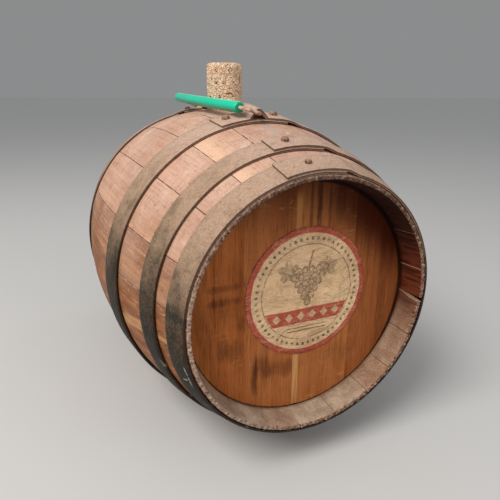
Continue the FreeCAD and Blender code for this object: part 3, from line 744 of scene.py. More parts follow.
def grip_plastic():
    """Green tube: smooth and glossy, a little scuffed, with a painted highlight along its top and
    painted shade underneath and on its ends.
    """
    paint = Paint("grip_plastic")
    cloud = paint.cloud(70.0, 3.0)
    scuff = paint.noise(paint.stretched(1.0, 0.12, 1.0), 900.0, 3.0, 0.6)
    painted_highlight = paint.facing_up.rising(0.84, 0.99) * (0.7 + 0.3 * cloud)
    colour = paint.coats(
        (0, 200, 156),
        (cloud.rising(0.3, 0.7) * 0.35, (0, 214, 176)),
        # painted highlight along the top
        (painted_highlight * 0.6, (140, 255, 230)),
        # painted shade underneath
        (paint.facing_up.rising(0.25, -0.60) * 0.7, (0, 120, 78)),
        # painted shade on the end faces
        (paint.facing[1].size().rising(0.60, 0.92) * 0.75, (0, 126, 88)),
        (scuff.rising(0.62, 0.72) * 0.2, (110, 232, 208)))
    roughness = 0.28 + scuff.rising(0.5, 0.7) * 0.15
    return paint.finish(colour, roughness, paint.bump(scuff, 0.1 * MM, 0.25), shine=0.35, coat=0.12)


# ---------------------------------------------------------------------------------------------
# Meshes and bending


def closed_mesh(name, rings, hubs=None):
    """A smooth object through closed rings of points, ended by flat faces or fans to two hubs.

    The sign of its volume tells which way its faces look, also where the piece is very thin.
    """
    mesh = bmesh.new()
    rings = [[mesh.verts.new(spot) for spot in ring] for ring in rings]
    pairs = [(index, (index + 1) % len(rings[0])) for index in range(len(rings[0]))]
    for ring, following in zip(rings, rings[1:]):
        for here, there in pairs:
            mesh.faces.new((ring[here], ring[there], following[there], following[here]))
    if hubs:
        first, last = [mesh.verts.new(spot) for spot in hubs]
        for here, there in pairs:
            mesh.faces.new((first, rings[0][there], rings[0][here]))
            mesh.faces.new((last, rings[-1][here], rings[-1][there]))
    else:
        mesh.faces.new(reversed(rings[0]))
        mesh.faces.new(rings[-1])
    if mesh.calc_volume(signed=True) < 0:
        bmesh.ops.reverse_faces(mesh, faces=mesh.faces)
    data = bpy.data.meshes.new(name)
    mesh.to_mesh(data)
    mesh.free()
    for face in data.polygons:
        face.use_smooth = True
    return in_scene(name, data)


def in_scene(name, data):
    """A new object of the scene."""
    made = bpy.data.objects.new(name, data)
    bpy.context.scene.collection.objects.link(made)
    return made


def stands_for(piece, body, slot, *nodes):
    """The piece rides on a body in place of CAD nodes."""
    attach(piece, body)
    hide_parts(*nodes)


def wear(node, material):
    """Gives a CAD node its material."""
    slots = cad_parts[node].data.materials
    slots.clear()
    slots.append(material)


def open_tree(name, inputs):
    """A new geometry node tree, with each of its inputs as a wire by name."""
    tree = bpy.data.node_groups.new(name, "GeometryNodeTree")
    add = tree.interface.new_socket
    add("Geometry", in_out="OUTPUT", socket_type="NodeSocketGeometry")
    for title, kind in {"Geometry": "Geometry", **inputs, "Finish": "Material"}.items():
        add(title, in_out="INPUT", socket_type=f"NodeSocket{kind}")
    graph = Graph(tree)
    entry = tree.nodes.new("NodeGroupInput")
    given = {socket.name: Wire(graph, socket) for socket in entry.outputs if socket.name}
    return graph, given


def close_tree(graph, geometry, finish):
    """Ends a tree: real geometry in its finish."""
    realized = graph.node("GeometryNodeRealizeInstances", {}, {0: geometry})
    finished = graph.node("GeometryNodeSetMaterial", {}, {"Geometry": realized, "Material": finish})
    leave = graph.tree.nodes.new("NodeGroupOutput")
    graph.tree.links.new(finished.socket, leave.inputs[0])
    return graph.tree


def run_tree(flat, tree, name, settings):
    """The flat piece through a tree, as a plain mesh object of its own."""
    modifier = flat.modifiers.new(tree.name, "NODES")
    modifier.node_group = tree
    for item in tree.interface.items_tree:
        if item.in_out == "INPUT" and item.name in settings:
            modifier[item.identifier] = settings[item.name]
    graph = bpy.context.evaluated_depsgraph_get()
    data = bpy.data.meshes.new_from_object(flat.evaluated_get(graph))
    data.name = name
    flat.modifiers.remove(modifier)
    bpy.data.objects.remove(flat)
    return in_scene(name, data)


# What a bent piece is given where it has no setting of its own.
BEND_SETTINGS = {
    "First angle": 0.0, "Angle": 1.0, "Bilge radius": BILGE_RADIUS, "Sweep radius": SWEEP_RADIUS,
    "Axis height": AXIS_HEIGHT, "Half length": HALF_LENGTH, "Unevenness": 0.0, "Wave scale": 28.0,
    "Fraying": 0.0, "Gap depth": 0.0, "Gap width": 0.0, "Gap step": 0.0, "Seed": 0.0,
}
FRAY_REACH = 3.2 * MM
GAP_EASE = 12 * MM


def bending_tree():
    """Geometry nodes that wrap a flat stave or strap round the cask.

    The flat piece's x is its angle, as a share of "Angle"; y runs along the cask; z is the
    height over the cask's bulging surface.
    """
    graph, given = open_tree("bend_round_cask", dict.fromkeys(BEND_SETTINGS, "Float"))
    part, along, height = graph.node("GeometryNodeInputPosition").parts()
    angle = (given["First angle"] + part * given["Angle"]) * (math.pi / 180)
    sweep = given["Sweep radius"]
    bulge = given["Bilge radius"] - sweep + (sweep * sweep - along * along) ** 0.5

    def wander(scale, shift, detail=2.0):
        place = graph.vector(angle * GRAIN_RADIUS + given["Seed"] + shift, along, height)
        return graph.noise(place, scale, detail) - 0.5

    wave = wander(given["Wave scale"], 0.0) * given["Unevenness"]
    end = given["Half length"] - along.size()
    frayed = end.rising(FRAY_REACH, 0.0) * given["Fraying"]
    shorter = frayed * (wander(780.0, 3.1, 4.0) + 0.20).most(0.0)
    thinner = frayed * wander(640.0, 5.7, 4.0).least(0.1) * 0.8
    along_new = along - along.math("SIGN", along) * shorter
    open_end = (0 - along - given["Half length"] + given["Gap depth"]).rising(0.0, GAP_EASE)
    angle = angle + open_end * given["Gap width"] * part.rising(0.5, 0.0)
    radius = bulge + height + wave + thinner - open_end * given["Gap step"]
    bent = graph.vector(radius * angle.math("SINE", angle), along_new,
                        radius * angle.math("COSINE", angle) + given["Axis height"])
    moved = graph.node("GeometryNodeSetPosition", {},
                       {"Geometry": given["Geometry"], "Position": bent})
    return close_tree(graph, moved, given["Finish"])


BEND = bending_tree()


def bend(flat, name, finish, **settings):
    """The flat piece bent round the cask."""
    return run_tree(flat, BEND, name, {**BEND_SETTINGS, "Finish": finish, **settings})


# ---------------------------------------------------------------------------------------------
# Staves


def stave_outline():
    """Side view of a stave, as a closed loop of (along, height over the cask's surface)."""
    half = HALF_LENGTH
    head = half - CHIME_DEPTH
    back = head - CROZE_WIDTH
    land_radius = END_RADIUS - CHIME_LAND
    inner_radius = BILGE_RADIUS - BILGE_WALL
    inner_rise = inner_radius - LIP_RADIUS
    inner_sweep = (back ** 2 + inner_rise ** 2) / (2 * inner_rise)
    near_end = [half - step * MM for step in (0.0, 0.5, 1.0, 1.6, 2.4, 3.6, 5.0)]
    spread = [half * (1 - step / 30) for step in range(2, 31)]
    spread = [place for place in spread if place < near_end[-1] - 2 * MM]
    outside = [(along, outer_radius(along)) for along in near_end + spread]
    land = [(half, END_RADIUS - CHIME_LAND * part / 4) for part in (1, 2, 3)]
    lip = [(half - CHIME_DEPTH * part, land_radius + (LIP_RADIUS - land_radius) * part)
           for part in (0.0, 0.03, 0.06, 0.12, 0.25, 0.4, 0.55, 0.7, 0.85, 1.0)]
    groove = [(head - HAIR, LIP_RADIUS + CROZE_DEPTH), (back, LIP_RADIUS + CROZE_DEPTH)]
    hollow = [(back * part, inner_radius - inner_sweep
               + math.sqrt(inner_sweep ** 2 - (back * part) ** 2))
              for part in (0.999, 0.8, 0.6, 0.4, 0.2, 0.0)]
    quarter = list(reversed(outside)) + land + lip + groove + hollow
    mirrored = [(-along, radius) for along, radius in reversed(quarter)]
    loop = quarter + mirrored[1:-1]
    return [(along, radius - outer_radius(along)) for along, radius in loop]


def outward(loop):
    """Unit normals of a closed 2-D loop, pointing out of it."""
    area = sum(a[0] * b[1] - b[0] * a[1] for a, b in zip(loop, loop[1:] + loop[:1]))
    sign = 1 if area > 0 else -1
    normals = []
    for before, after in zip(loop[-1:] + loop[:-1], loop[1:] + loop[:1]):
        normal = Vector((after[1] - before[1], before[0] - after[0])) * sign
        normals.append(normal.normalized())
    return normals


def flat_stave(width):
    """A straight stave before it is bent: x from 0 to 1 across, eased along both edges."""
    loop = stave_outline()
    normals = outward(loop)
    eased = [(0.0, 0.30 * MM), (0.15 * MM, 0.12 * MM), (0.35 * MM, 0.03 * MM), (0.6 * MM, 0.0)]
    column = 0.8 * MM
    inner_count = round(width / column)
    first, last = eased[-1][0], width - eased[-1][0]
    middle = [(first + (last - first) * step / inner_count, 0.0) for step in range(1, inner_count)]
    columns = eased + middle + [(width - place, drop) for place, drop in reversed(eased)]
    rings = [[(place / width, along - normal.x * drop, height - normal.y * drop)
              for (along, height), normal in zip(loop, normals)]
             for place, drop in columns]
    return closed_mesh("flat_stave", rings)


# Tone, streak, pale side (share of the edge that has lost its dust, minus is anticlockwise).
STAVE_TONES = {
    1: ((196, 152, 126), (168, 120, 94), 0.0),
    12: ((132, 82, 46), (88, 48, 26), 0.0),
    13: ((140, 86, 48), (90, 48, 26), 0.0),
    14: ((156, 97, 54), (110, 60, 32), 0.0),
    15: ((152, 94, 54), (114, 64, 34), 0.0),
    16: ((158, 104, 62), (118, 68, 37), -0.25),
    17: ((200, 150, 116), (168, 116, 82), 0.0),
    18: ((204, 156, 128), (174, 124, 96), 0.0),
    19: ((212, 164, 130), (182, 132, 100), -1.0),
}
PLAIN_TONE = ((164, 110, 72), (118, 70, 42), 0.0)
BUNG_STAVE = 1
SAPWOOD_STAVES = (14, 15)

# The stave whose first joint gapes at the front end, and how deep, wide (radians) and low it goes.
GAPING_STAVE = 6
GAP = {"Gap depth": 17 * MM, "Gap width": 0.030, "Gap step": 0.8 * MM}


def make_staves():
    """The ring of staves, each in its own wood."""
    total = sum(STAVE_WIDTHS)
    first = -180.0 * STAVE_WIDTHS[0] / total
    for number, width in enumerate(STAVE_WIDTHS, 1):
        angle = 360.0 * width / total
        name = "bung_stave" if number == BUNG_STAVE else f"stave_{number:02d}"
        tone, streak, bare_edge = STAVE_TONES.get(number, PLAIN_TONE)
        finish = stave_wood(f"{name}_wood", first + angle / 2, angle / 2, tone, streak, bare_edge,
                            open_joint=number == GAPING_STAVE, sapwood=number in SAPWOOD_STAVES,
                            smeared=number == BUNG_STAVE)
        settings = {"First angle": first, "Angle": angle, "Seed": number * 1.7,
                    "Unevenness": 0.5 * MM, "Fraying": 2.4 * MM}
        if number == GAPING_STAVE:
            settings.update(GAP)
        girth = TURN * BILGE_RADIUS * width / total
        stave = bend(flat_stave(girth), f"{name}_bent", finish, **settings)
        if number == BUNG_STAVE:
            bore_bung_hole(stave)
        stands_for(stave, "cask", "stave_wood", name)
        first += angle


def bore_bung_hole(stave):
    """Cuts the hole that the cork sits in."""
    clearance = 0.1 * MM
    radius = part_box("bung_cork")[1].x + clearance
    bpy.ops.mesh.primitive_cylinder_add(vertices=96, radius=radius, depth=60 * MM,
                                        location=(0, 0, 2 * BILGE_RADIUS))
    cutter = bpy.context.object
    modifier = stave.modifiers.new("bung_hole", "BOOLEAN")
    modifier.object = cutter
    modifier.operation = "DIFFERENCE"
    modifier.solver = "EXACT"
    graph = bpy.context.evaluated_depsgraph_get()
    stave.data = bpy.data.meshes.new_from_object(stave.evaluated_get(graph))
    stave.modifiers.clear()
    bpy.data.objects.remove(cutter)


# ---------------------------------------------------------------------------------------------
# Hoops and rivets


def strap_path(lap_angle, radius, bridged):
    """Middle line of a strap as (distance round, height): lap, ramp, once round, tail."""
    lift = STRAP_THICKNESS + LAP_GAP
    start, tail = -lap_angle, 360 + LAP_TAIL_ANGLE
    end_step, round_step = 0.3, 3
    ramp_steps, round_steps, bridge_steps = 8, 115, 24
    stops = [start, start + end_step]
    stops += [start + step for step in range(1, int(lap_angle + LAP_TAIL_ANGLE))]
    stops += [LAP_TAIL_ANGLE + RAMP_ANGLE * step / ramp_steps for step in range(ramp_steps + 1)]
    stops += [LAP_TAIL_ANGLE + RAMP_ANGLE + round_step * step
              for step in range(1, round_steps + 1)]
    stops = [stop for stop in stops if stop < tail - 1] + [tail - end_step, tail]
    if bridged:
        half_mouth = math.degrees((BRIDGE_HALF_MOUTH + 2 * MM) / radius)
        stops = [stop for stop in stops if abs(stop - BRIDGE_ANGLE) > half_mouth]
        stops += [BRIDGE_ANGLE + half_mouth * step / bridge_steps
                  for step in range(-bridge_steps, bridge_steps + 1)]
    path = []
    for stop in sorted(stops):
        share = min(1.0, max(0.0, (stop - LAP_TAIL_ANGLE) / RAMP_ANGLE))
        height = lift * (1 - share * share * (3 - 2 * share))
        if bridged:
            height += bridge_height(math.radians(stop - BRIDGE_ANGLE) * radius)
        path.append((math.radians(stop) * radius, height))
    return path


def bridge_height(distance):
    """Height of the pinched bridge over the lap, its corners a little rounded."""
    rounding = 0.5 * MM
    slope = BRIDGE_RISE / (BRIDGE_HALF_MOUTH - BRIDGE_CROWN / 2)
    raw = (BRIDGE_HALF_MOUTH - math.sqrt(distance ** 2 + rounding ** 2)) * slope
    soft = 0.35 * MM
    lower = 0.5 * (raw + math.sqrt(raw ** 2 + soft ** 2))
    return 0.5 * (lower + BRIDGE_RISE - math.sqrt((lower - BRIDGE_RISE) ** 2 + soft ** 2))


def flat_strap(side, setback, width, lap_angle, bridged):
    """A strap laid flat: x is degrees, with a rounded section of the strap's own thickness."""
    outer = HALF_LENGTH - setback
    radius = outer_radius(outer - width / 2)
    path = strap_path(lap_angle, radius, bridged)
    half = STRAP_THICKNESS / 2
    ease = 0.3 * MM
    across = [0.0, ease, width * 0.25, width * 0.5, width * 0.75, width - ease, width]
    section = [(1, place) for place in across] + [(-1, place) for place in reversed(across)]
    rings = []
    for index, (distance, height) in enumerate(path):
        before, after = path[max(0, index - 1)], path[min(len(path) - 1, index + 1)]
        tangent = Vector((after[0] - before[0], after[1] - before[1])).normalized()
        normal = Vector((-tangent.y, tangent.x))
        ring = []
        for face, place in section:
            cut = ease if place in (0.0, width) else 0.0
            reach = face * (half - cut)
            flare = STRAP_FLARE * (1 - place / width) ** 2
            ring.append((-side * math.degrees((distance + normal.x * reach) / radius),
                         side * (outer - place),
                         STRAP_GAP + half + flare + height + normal.y * reach))
        rings.append(ring)
    return closed_mesh("flat_strap", rings)


def rivet_points():
    """Where the rivets stand, which way they point and how much of a full head each has."""
    lap_height = STRAP_GAP + 2 * STRAP_THICKNESS + LAP_GAP
    step = 0.1 * MM
    spots = []
    for side in (-1, 1):
        for kind, (setback, width, _, angles) in HOOPS.items():
            along = side * (HALF_LENGTH - setback - width / 2)
            slope = (outer_radius(along + step) - outer_radius(along - step)) / (2 * step)
            radius = outer_radius(along) + lap_height
            for angle in angles:
                turn = -side * math.radians(angle)
                out = Vector((math.sin(turn), -slope, math.cos(turn))).normalized()
                height = radius * math.cos(turn) + AXIS_HEIGHT
                place = Vector((radius * math.sin(turn), along, height))
                spots.append((place, out, RIVET_SHARES[kind]))
    return spots


def rivet_tree():
    """Geometry nodes that stand a hammered head on every point, turned to its normal."""
    graph, given = open_tree("set_rivets", {"Head radius": "Float", "Head height": "Float",
                                            "Dents": "Float", "Seed": "Int"})
    ball = graph.node("GeometryNodeMeshUVSphere", {}, {"Segments": 28, "Rings": 16, "Radius": 1.0})
    across, along, up = graph.node("GeometryNodeInputPosition").parts()
    lumps = graph.noise(graph.vector(across, along, up), 1.4, 2.0) - 0.5
    reach = given["Head radius"] * (1 + lumps * given["Dents"])
    flat_top = up.math("SIGN", up) * up.size() ** 0.5
    shaped = graph.vector(across * reach, along * reach, flat_top * given["Head height"])
    head = graph.node("GeometryNodeSetPosition", {}, {"Geometry": ball, "Position": shaped})
    smooth = graph.node("GeometryNodeSetShadeSmooth", {}, {0: head})
    out = graph.node("GeometryNodeInputNamedAttribute", {"data_type": "FLOAT_VECTOR"}, {0: "out"})
    turn = graph.node("FunctionNodeAlignRotationToVector", {"axis": "Z"}, {"Vector": out})
    spin = graph.node("FunctionNodeRandomValue", {"data_type": "FLOAT"},
                      {2: 0.0, 3: 6.28, "Seed": given["Seed"]}, output=1)
    twist = graph.node("FunctionNodeAxisAngleToRotation", {}, {0: (0.0, 0.0, 1.0), 1: spin})
    both = graph.node("FunctionNodeRotateRotation", {"rotation_space": "LOCAL"},
                      {0: turn, 1: twist})
    share = graph.node("GeometryNodeInputNamedAttribute", {"data_type": "FLOAT"}, {0: "share"})
    placed = graph.node("GeometryNodeInstanceOnPoints", {},
                        {"Points": given["Geometry"], "Instance": smooth, "Rotation": both,
                         "Scale": graph.vector(share, share, share)})
    return close_tree(graph, placed, given["Finish"])


def make_rivets():
    """All rivet heads as one piece, each standing on its lap."""
    spots = rivet_points()
    data = bpy.data.meshes.new("rivet_spots")
    data.from_pydata([place for place, _, _ in spots], [], [])
    # each attribute is filled before the next is made, because making one can move the others
    outs = data.attributes.new("out", "FLOAT_VECTOR", "POINT")
    for item, (_, out, _) in zip(outs.data, spots):
        item.vector = out
    shares = data.attributes.new("share", "FLOAT", "POINT")
    for item, (_, _, share) in zip(shares.data, spots):
        item.value = share
    rivets = run_tree(in_scene("rivet_spots", data), rivet_tree(), "rivet_heads", {
        "Head radius": RIVET_HEAD_RADIUS, "Head height": RIVET_HEAD_HEIGHT, "Dents": 0.35,
        "Seed": 7, "Finish": rivet_steel()})
    stands_for(rivets, "cask", "rivet_steel", "hoop_rivets")


# How high the dark underside, partly painted shade, gives out and how high the dust is whole, as
# hoop_steel takes them.
DUST_AND_SHADE_LIMITS = {"chime": (-0.30, 0.80), "quarter": (-0.20, 0.92), "bilge": (-0.24, 0.93)}


def make_hoops():
    """Three straps at each end, in the steel of their kind."""
    steel = {kind: hoop_steel(f"{kind}_hoop_steel", dark_below, dusty_above)
             for kind, (dark_below, dusty_above) in DUST_AND_SHADE_LIMITS.items()}
    for end, side in (("front", -1), ("rear", 1)):
        for number, (kind, (setback, width, lap_angle, _)) in enumerate(HOOPS.items()):
            flat = flat_strap(side, setback, width, lap_angle, kind == "bilge")
            settings = {"Seed": 11.3 * side + number, "Unevenness": 0.45 * MM}
            strap = bend(flat, f"{end}_{kind}_strap", steel[kind], **settings)
            stands_for(strap, "cask", "hoop_steel", f"{end}_{kind}_hoop")


# ---------------------------------------------------------------------------------------------
# Heads

# Joints between the boards, in millimetres across from the middle, and seeds of their grain.
HEAD_JOINTS = {"front": (-37.0, -3.5, 33.0), "rear": (-34.0, 1.0, 36.0)}
HEAD_SEEDS = {"front": 0.0, "rear": 2.0}

# How much painted shade each board has at its top, from the -X side.
PAINTED_TOP_SHADES = (0.34, 0.46, 0.50, 0.50)

# Tone and streak of each head's boards, from its -X side.
BOARD_TONES = {
    "front": (((177, 101, 51), (146, 77, 38)), ((176, 106, 59), (142, 77, 42)),
              ((175, 107, 60), (139, 76, 41)), ((158, 91, 50), (116, 60, 32))),
    "rear": (((146, 80, 36), (108, 52, 20)), ((140, 76, 34), (102, 48, 18)),
             ((152, 86, 40), (112, 56, 22)), ((136, 72, 32), (96, 44, 16))),
}


def finish_heads():
    """The boards, inlay and dowels are the CAD's own; each board gets its own wood."""
    for end, joints in HEAD_JOINTS.items():
        edges = [-2 * LIP_RADIUS] + [joint * MM for joint in joints] + [2 * LIP_RADIUS]
        for number, (left, right) in enumerate(zip(edges, edges[1:]), 1):
            tone, streak = BOARD_TONES[end][number - 1]
            wood = head_wood(f"{end}_head_wood_{number}", left, right, tone, streak,
                             number * 0.31 + HEAD_SEEDS[end], end == "front", PAINTED_TOP_SHADES[number - 1])
            wear(f"{end}_head_board_{number}", wood)
    wear("front_head_inlay", plain_wood("inlay_wood", (206, 144, 84), (166, 108, 58)))
    pegs = plain_wood("dowel_wood", (196, 150, 100), (160, 112, 70))
    wear("front_head_dowels", pegs)
    wear("rear_head_dowels", pegs)


# ---------------------------------------------------------------------------------------------
# Label. Its drawing is measured in shares of its radius: x across, z up, from its middle.

BEADS = 56
BEAD_REACH = 0.83
RIBBON_DROP = 0.36
LOZENGES = 5.0               # to one radius
BERRY_ROWS = 6
BERRY_STEP = 0.118
BERRY_DROP = 0.102
BUNCH_TOP = 0.36
LEAF_REACH = 0.33
LEAF_HEIGHT = 0.37

# Its sheet: rings of points, points in a ring, height of the folds, depth of the edge's chips.
LABEL_RINGS = 34
LABEL_STEPS = 128
LABEL_FOLD = 0.6 * MM
LABEL_CHIP = 0.012


def bead_ring(angle, reach):
    """A ring of beads just inside the border, and a thin ring within it."""
    beat = (angle * (BEADS / TURN)).off_middle() * (TURN / BEADS)
    bead = span(beat, reach - BEAD_REACH).rising(0.030, 0.022)
    ring = (reach - 0.745).size().rising(0.011, 0.006)
    return bead.most(ring * 0.8)


def ribbon_and_lozenges(x, z, reach):
    """A ribbon across the lower part, and the row of lozenges on it."""
    off = (z + RIBBON_DROP).size()
    ribbon = off.rising(0.122, 0.112) * reach.rising(0.735, 0.725)
    beat = (x * LOZENGES).off_middle() * (1 / LOZENGES)
    return ribbon, (beat + off * 0.9).rising(0.072, 0.060)


def grape_berries(x, z):
    """Rows of berries that narrow downwards."""
    berries = []
    for row in range(BERRY_ROWS):
        for column in range(BERRY_ROWS - row):
            left = column * BERRY_STEP - (BERRY_ROWS - 1 - row) * BERRY_STEP / 2
            gap = span(x - left, z - (BUNCH_TOP - row * BERRY_DROP))
            berries.append(gap.rising(0.063, 0.055) * (1 - gap.rising(0.040, 0.032) * 0.55))
    return highest(berries)


def vine_leaves(x, z):
    """A lobed leaf at each side of the stalk, its veins left pale."""
    leaves = []
    for side in (-1, 1):
        sideways = x - side * LEAF_REACH
        upwards = z - LEAF_HEIGHT
        spoke = sideways.math("ARCTAN2", sideways, upwards) * 2.5
        lobe = spoke.math("COSINE", spoke).size()
        reach = span(sideways, upwards)
        vein = lobe.rising(0.985, 0.997) * reach.rising(0.02, 0.04)
        leaves.append((reach - lobe * 0.075).rising(0.105, 0.093) * (0.72 - vein * 0.6))
    return highest(leaves)


def label_ink(x, z, reach):
    """All that is drawn in dark ink: beads, grapes, leaves, stalk and two rules at the foot."""
    berries = grape_berries(x, z)
    leaves = vine_leaves(x, z) * (1 - berries)
    stalk = (x - (z - 0.4) * 0.3).size().rising(0.020, 0.012) * (z - 0.52).size().rising(0.13, 0.12)
    rules = (z + 0.60).size().rising(0.012, 0.007).most((z + 0.545).size().rising(0.009, 0.005))
    rules = rules * x.size().rising(0.34, 0.33)
    beads = bead_ring(x.math("ARCTAN2", x, z), reach)
    return beads.most(berries.most(leaves).most(stalk) * 0.85).most(rules)


def label_paper(centre_x, centre_z, radius):
    """Old printed paper: red border, beaded ring, ribbon of lozenges and bunch of grapes."""
    paint = Paint("label_paper")
    across, _, up = paint.place.parts()
    x = (across - centre_x) / radius
    z = (up - centre_z) / radius
    reach = span(x, z)
    fade = paint.cloud(45.0, 4.0, 0.6)
    dark_patch = paint.cloud(22.0, 4.0, 0.6, 0.4)
    paper = paint.coats(
        (234, 194, 150),
        (fade.rising(0.35, 0.66), (212, 172, 128)),
        (dark_patch.rising(0.54, 0.72) * 0.5, (160, 120, 84)),
        (x.rising(0.1, 0.8) * z.rising(0.35, -0.25) * 0.45, (224, 190, 146)))
    red = paint.mix(fade.rising(0.4, 0.7), (184, 82, 60), (160, 64, 46))
    wobble = (paint.cloud(90.0, 3.0) - 0.5) * 0.012
    border = (reach + wobble).rising(0.905, 0.918)
    ribbon, lozenges = ribbon_and_lozenges(x, z, reach)
    worn = paint.cloud(520.0, 4.0, 0.7).rising(0.66, 0.50)
    creases = paint.noise(paint.stretched(1.0, 1.0, 2.1), 62.0, 4.0, 0.6, 1.2)
    colour = paint.coats(
        paper,
        (border * (0.86 + 0.14 * worn), red),
        (ribbon * (0.84 + 0.16 * worn), red),
        (ribbon * lozenges * 0.9, (214, 176, 132)),
        (label_ink(x, z, reach) * worn * 0.8, (64, 46, 38)),
        # dark lines in the creases: grime and painted shade; pale lines beside them: painted
        # highlight
        ((creases - 0.5).size().rising(0.030, 0.0) * 0.30, (120, 84, 56)),
        ((creases - 0.56).size().rising(0.030, 0.0) * 0.22, (236, 206, 168)))
    normal = paint.bump(creases + fade * 0.3, 5.0 * MM, 0.9)
    return paint.finish(colour, 0.62, normal, shine=0.3)


def label_circle(centre, radius, share, level, folded):
    """One circle of the label's points at a level along the axis; the front ones are folded."""
    circle = []
    for step in range(LABEL_STEPS):
        turn = TURN * step / LABEL_STEPS
        chip = LABEL_CHIP * max(0.0, noise.noise(Vector((turn * 3, 4.0, 1.0))))
        reach = radius * share * (1 - chip * share ** 6)
        x = centre.x + reach * math.sin(turn)
        z = centre.z + reach * math.cos(turn)
        y = level
        if folded:
            fold = noise.noise(Vector((x * 55, 2.0, z * 120)))
            fold += 0.6 * noise.noise(Vector((x * 130 + z * 60, 5.0, z * 210)))
            y = level - LABEL_FOLD * max(-0.2, fold)
        circle.append((x, y, z))
    return circle


def make_label():
    """Paper disc pasted on the head, wrinkled, its edge lifting here and there."""
    low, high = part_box("head_label")
    centre = (low + high) / 2
    radius = (high.x - low.x) / 2
    shares = [ring / LABEL_RINGS for ring in range(1, LABEL_RINGS + 1)]
    front = [label_circle(centre, radius, share, low.y, True) for share in shares]
    back = [label_circle(centre, radius, share, high.y, False) for share in reversed(shares)]
    hubs = [(centre.x, low.y, centre.z), (centre.x, high.y, centre.z)]
    label = closed_mesh("label_sheet", front + back, hubs)
    label.data.materials.append(label_paper(centre.x, centre.z, radius))
    stands_for(label, "cask", "label_paper", "head_label")


# ---------------------------------------------------------------------------------------------
# Cork and bail


def cork_profile(radius, foot, top):
    """Half of the cork's outline, from its top face to its foot, with rounded rims."""
    edge = 2.4 * MM
    rim = [(radius - edge + edge * math.sin(math.radians(turn)),
            edge - edge * math.cos(math.radians(turn)))
           for turn in (0, 20, 40, 60, 80, 90)]
    upper = [(across, top - drop) for across, drop in rim]
    lower = [(across, foot + drop) for across, drop in reversed(rim)]
    side_steps = 42
    side = [(radius, top - edge - (top - foot - 2 * edge) * step / side_steps)
            for step in range(1, side_steps)]
    faces = [radius * part for part in (0.25, 0.5, 0.7)]
    return ([(across, top) for across in faces] + upper + side + lower
            + [(across, foot) for across in reversed(faces)])


def crumbled(spot, top):
    """A point of the cork's surface, moved inwards where a crumb is missing above the stave."""
    clear = min(1.0, max(0.0, (spot.z - 2 * BILGE_RADIUS) / (2 * MM)))
    crumb = noise.noise(spot * 360)
    pit = max(0.0, noise.noise(spot * 520 + Vector((7, 3, 1))) - 0.16)
    inward = (0.35 * max(0.0, crumb) + 1.8 * pit) * MM * clear
    out = Vector((spot.x, spot.y, 0)).normalized()
    if spot.z >= top - HAIR:
        out = Vector((0, 0, 1))
    return spot - out * inward


def make_cork():
    """A turned cork whose crumbs stand out unevenly, with chipped edges."""
    low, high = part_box("bung_cork")
    steps = 110
    turns = [TURN * step / steps for step in range(steps)]
    rings = [[crumbled(Vector((across * math.cos(turn), across * math.sin(turn), height)), high.z)
              for turn in turns]
             for across, height in cork_profile(high.x, low.z, high.z)]
    cork = closed_mesh("crumb_bung", rings, [(0, 0, high.z), (0, 0, low.z)])
    cork.data.materials.append(crumb_cork())
    stands_for(cork, "cork", "bung_cork", "bung_cork")


def finish_bail():
    """The wire and tube are the CAD's own."""
    wear("bail_wire", bail_steel())
    wear("bail_grip", grip_plastic())


# ---------------------------------------------------------------------------------------------
# Stage, lamps and camera

FLOOR_SIZE = 60

# The colours of the sky, the backdrop and the lamps are linear.
SKY_COLOUR = (0.95, 0.97, 1.0, 1.0)
SKY_STRENGTH = 0.42
BACKDROP_COLOUR = (0.262, 0.264, 0.268, 1.0)

# Square lamps that look at the cask: place, edge, power, colour.
LAMPS = {
    "key": ((-0.85, -0.45, 1.15), 0.7, 17.0, (1.0, 0.97, 0.93)),
    "fill": ((0.9, -1.3, 0.7), 1.0, 4.0, (0.97, 0.98, 1.0)),
}

# Where the camera is and looks, its roll in degrees, lens and sensor in millimetres.
CAMERA_PLACE = (-0.12676, -0.33142, 0.21241)
CAMERA_LOOK = (0.38553, 0.86611, -0.31815)
CAMERA_ROLL = 0.27
CAMERA_LENS = 33.42
CAMERA_SENSOR = 36.0


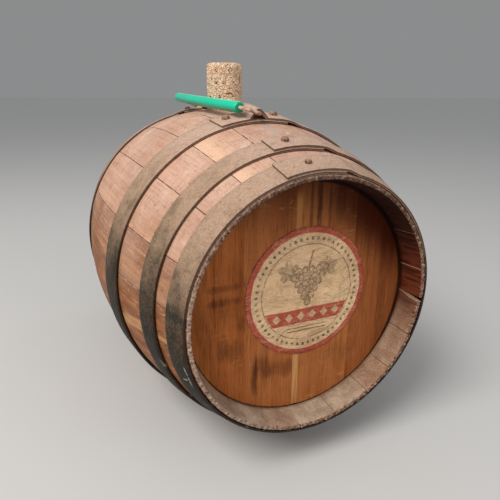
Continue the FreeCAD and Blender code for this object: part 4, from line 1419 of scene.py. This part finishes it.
def make_floor():
    """A matt pale floor under the cask."""
    bpy.ops.mesh.primitive_plane_add(size=FLOOR_SIZE, location=(0, 0, 0))
    floor = bpy.context.object
    floor.name = "floor"
    paint = Paint("floor_paint")
    floor.data.materials.append(paint.finish((206, 205, 203), 0.9, shine=0.1))


def make_world():
    """A soft sky that lights the cask, and a plain grey backdrop where it is seen."""
    world = bpy.data.worlds.new("studio")
    bpy.context.scene.world = world
    world.use_nodes = True
    world.node_tree.nodes.clear()
    graph = Graph(world.node_tree)
    light = graph.node("ShaderNodeBackground", {}, {0: SKY_COLOUR, 1: SKY_STRENGTH})
    backdrop = graph.node("ShaderNodeBackground", {}, {0: BACKDROP_COLOUR, 1: 1.0})
    rays = graph.node("ShaderNodeLightPath").socket.node.outputs
    camera, glossy, through = [Wire(graph, rays[kind]) for kind in
                               ("Is Camera Ray", "Is Glossy Ray", "Is Transmission Ray")]
    seen = (camera + glossy + through).least(1.0)
    both = graph.node("ShaderNodeMixShader", {}, {0: seen, 1: light, 2: backdrop})
    out = world.node_tree.nodes.new("ShaderNodeOutputWorld")
    world.node_tree.links.new(both.socket, out.inputs[0])


def make_lamps():
    """Each lamp, aimed at the middle of the cask."""
    for name, (place, size, power, colour) in LAMPS.items():
        data = bpy.data.lights.new(name, "AREA")
        data.size = size
        data.energy = power
        data.color = colour
        lamp = in_scene(name, data)
        lamp.location = place
        aim = Vector((0, 0, AXIS_HEIGHT)) - Vector(place)
        lamp.rotation_euler = aim.to_track_quat("-Z", "Y").to_euler()


def make_camera():
    """The camera of the main view."""
    data = bpy.data.cameras.new("camera")
    data.sensor_width = CAMERA_SENSOR
    data.lens = CAMERA_LENS
    data.clip_start = 10 * MM
    camera = in_scene("camera", data)
    aim = Vector(CAMERA_LOOK).to_track_quat("-Z", "Y").to_matrix().to_4x4()
    roll = Matrix.Rotation(math.radians(CAMERA_ROLL), 4, "Z")
    camera.matrix_world = Matrix.Translation(CAMERA_PLACE) @ aim @ roll
    bpy.context.scene.camera = camera
    bpy.context.scene.view_settings.view_transform = "Standard"


make_camera()
make_floor()
make_world()
make_lamps()
make_staves()
make_hoops()
make_rivets()
finish_heads()
make_label()
make_cork()
finish_bail()
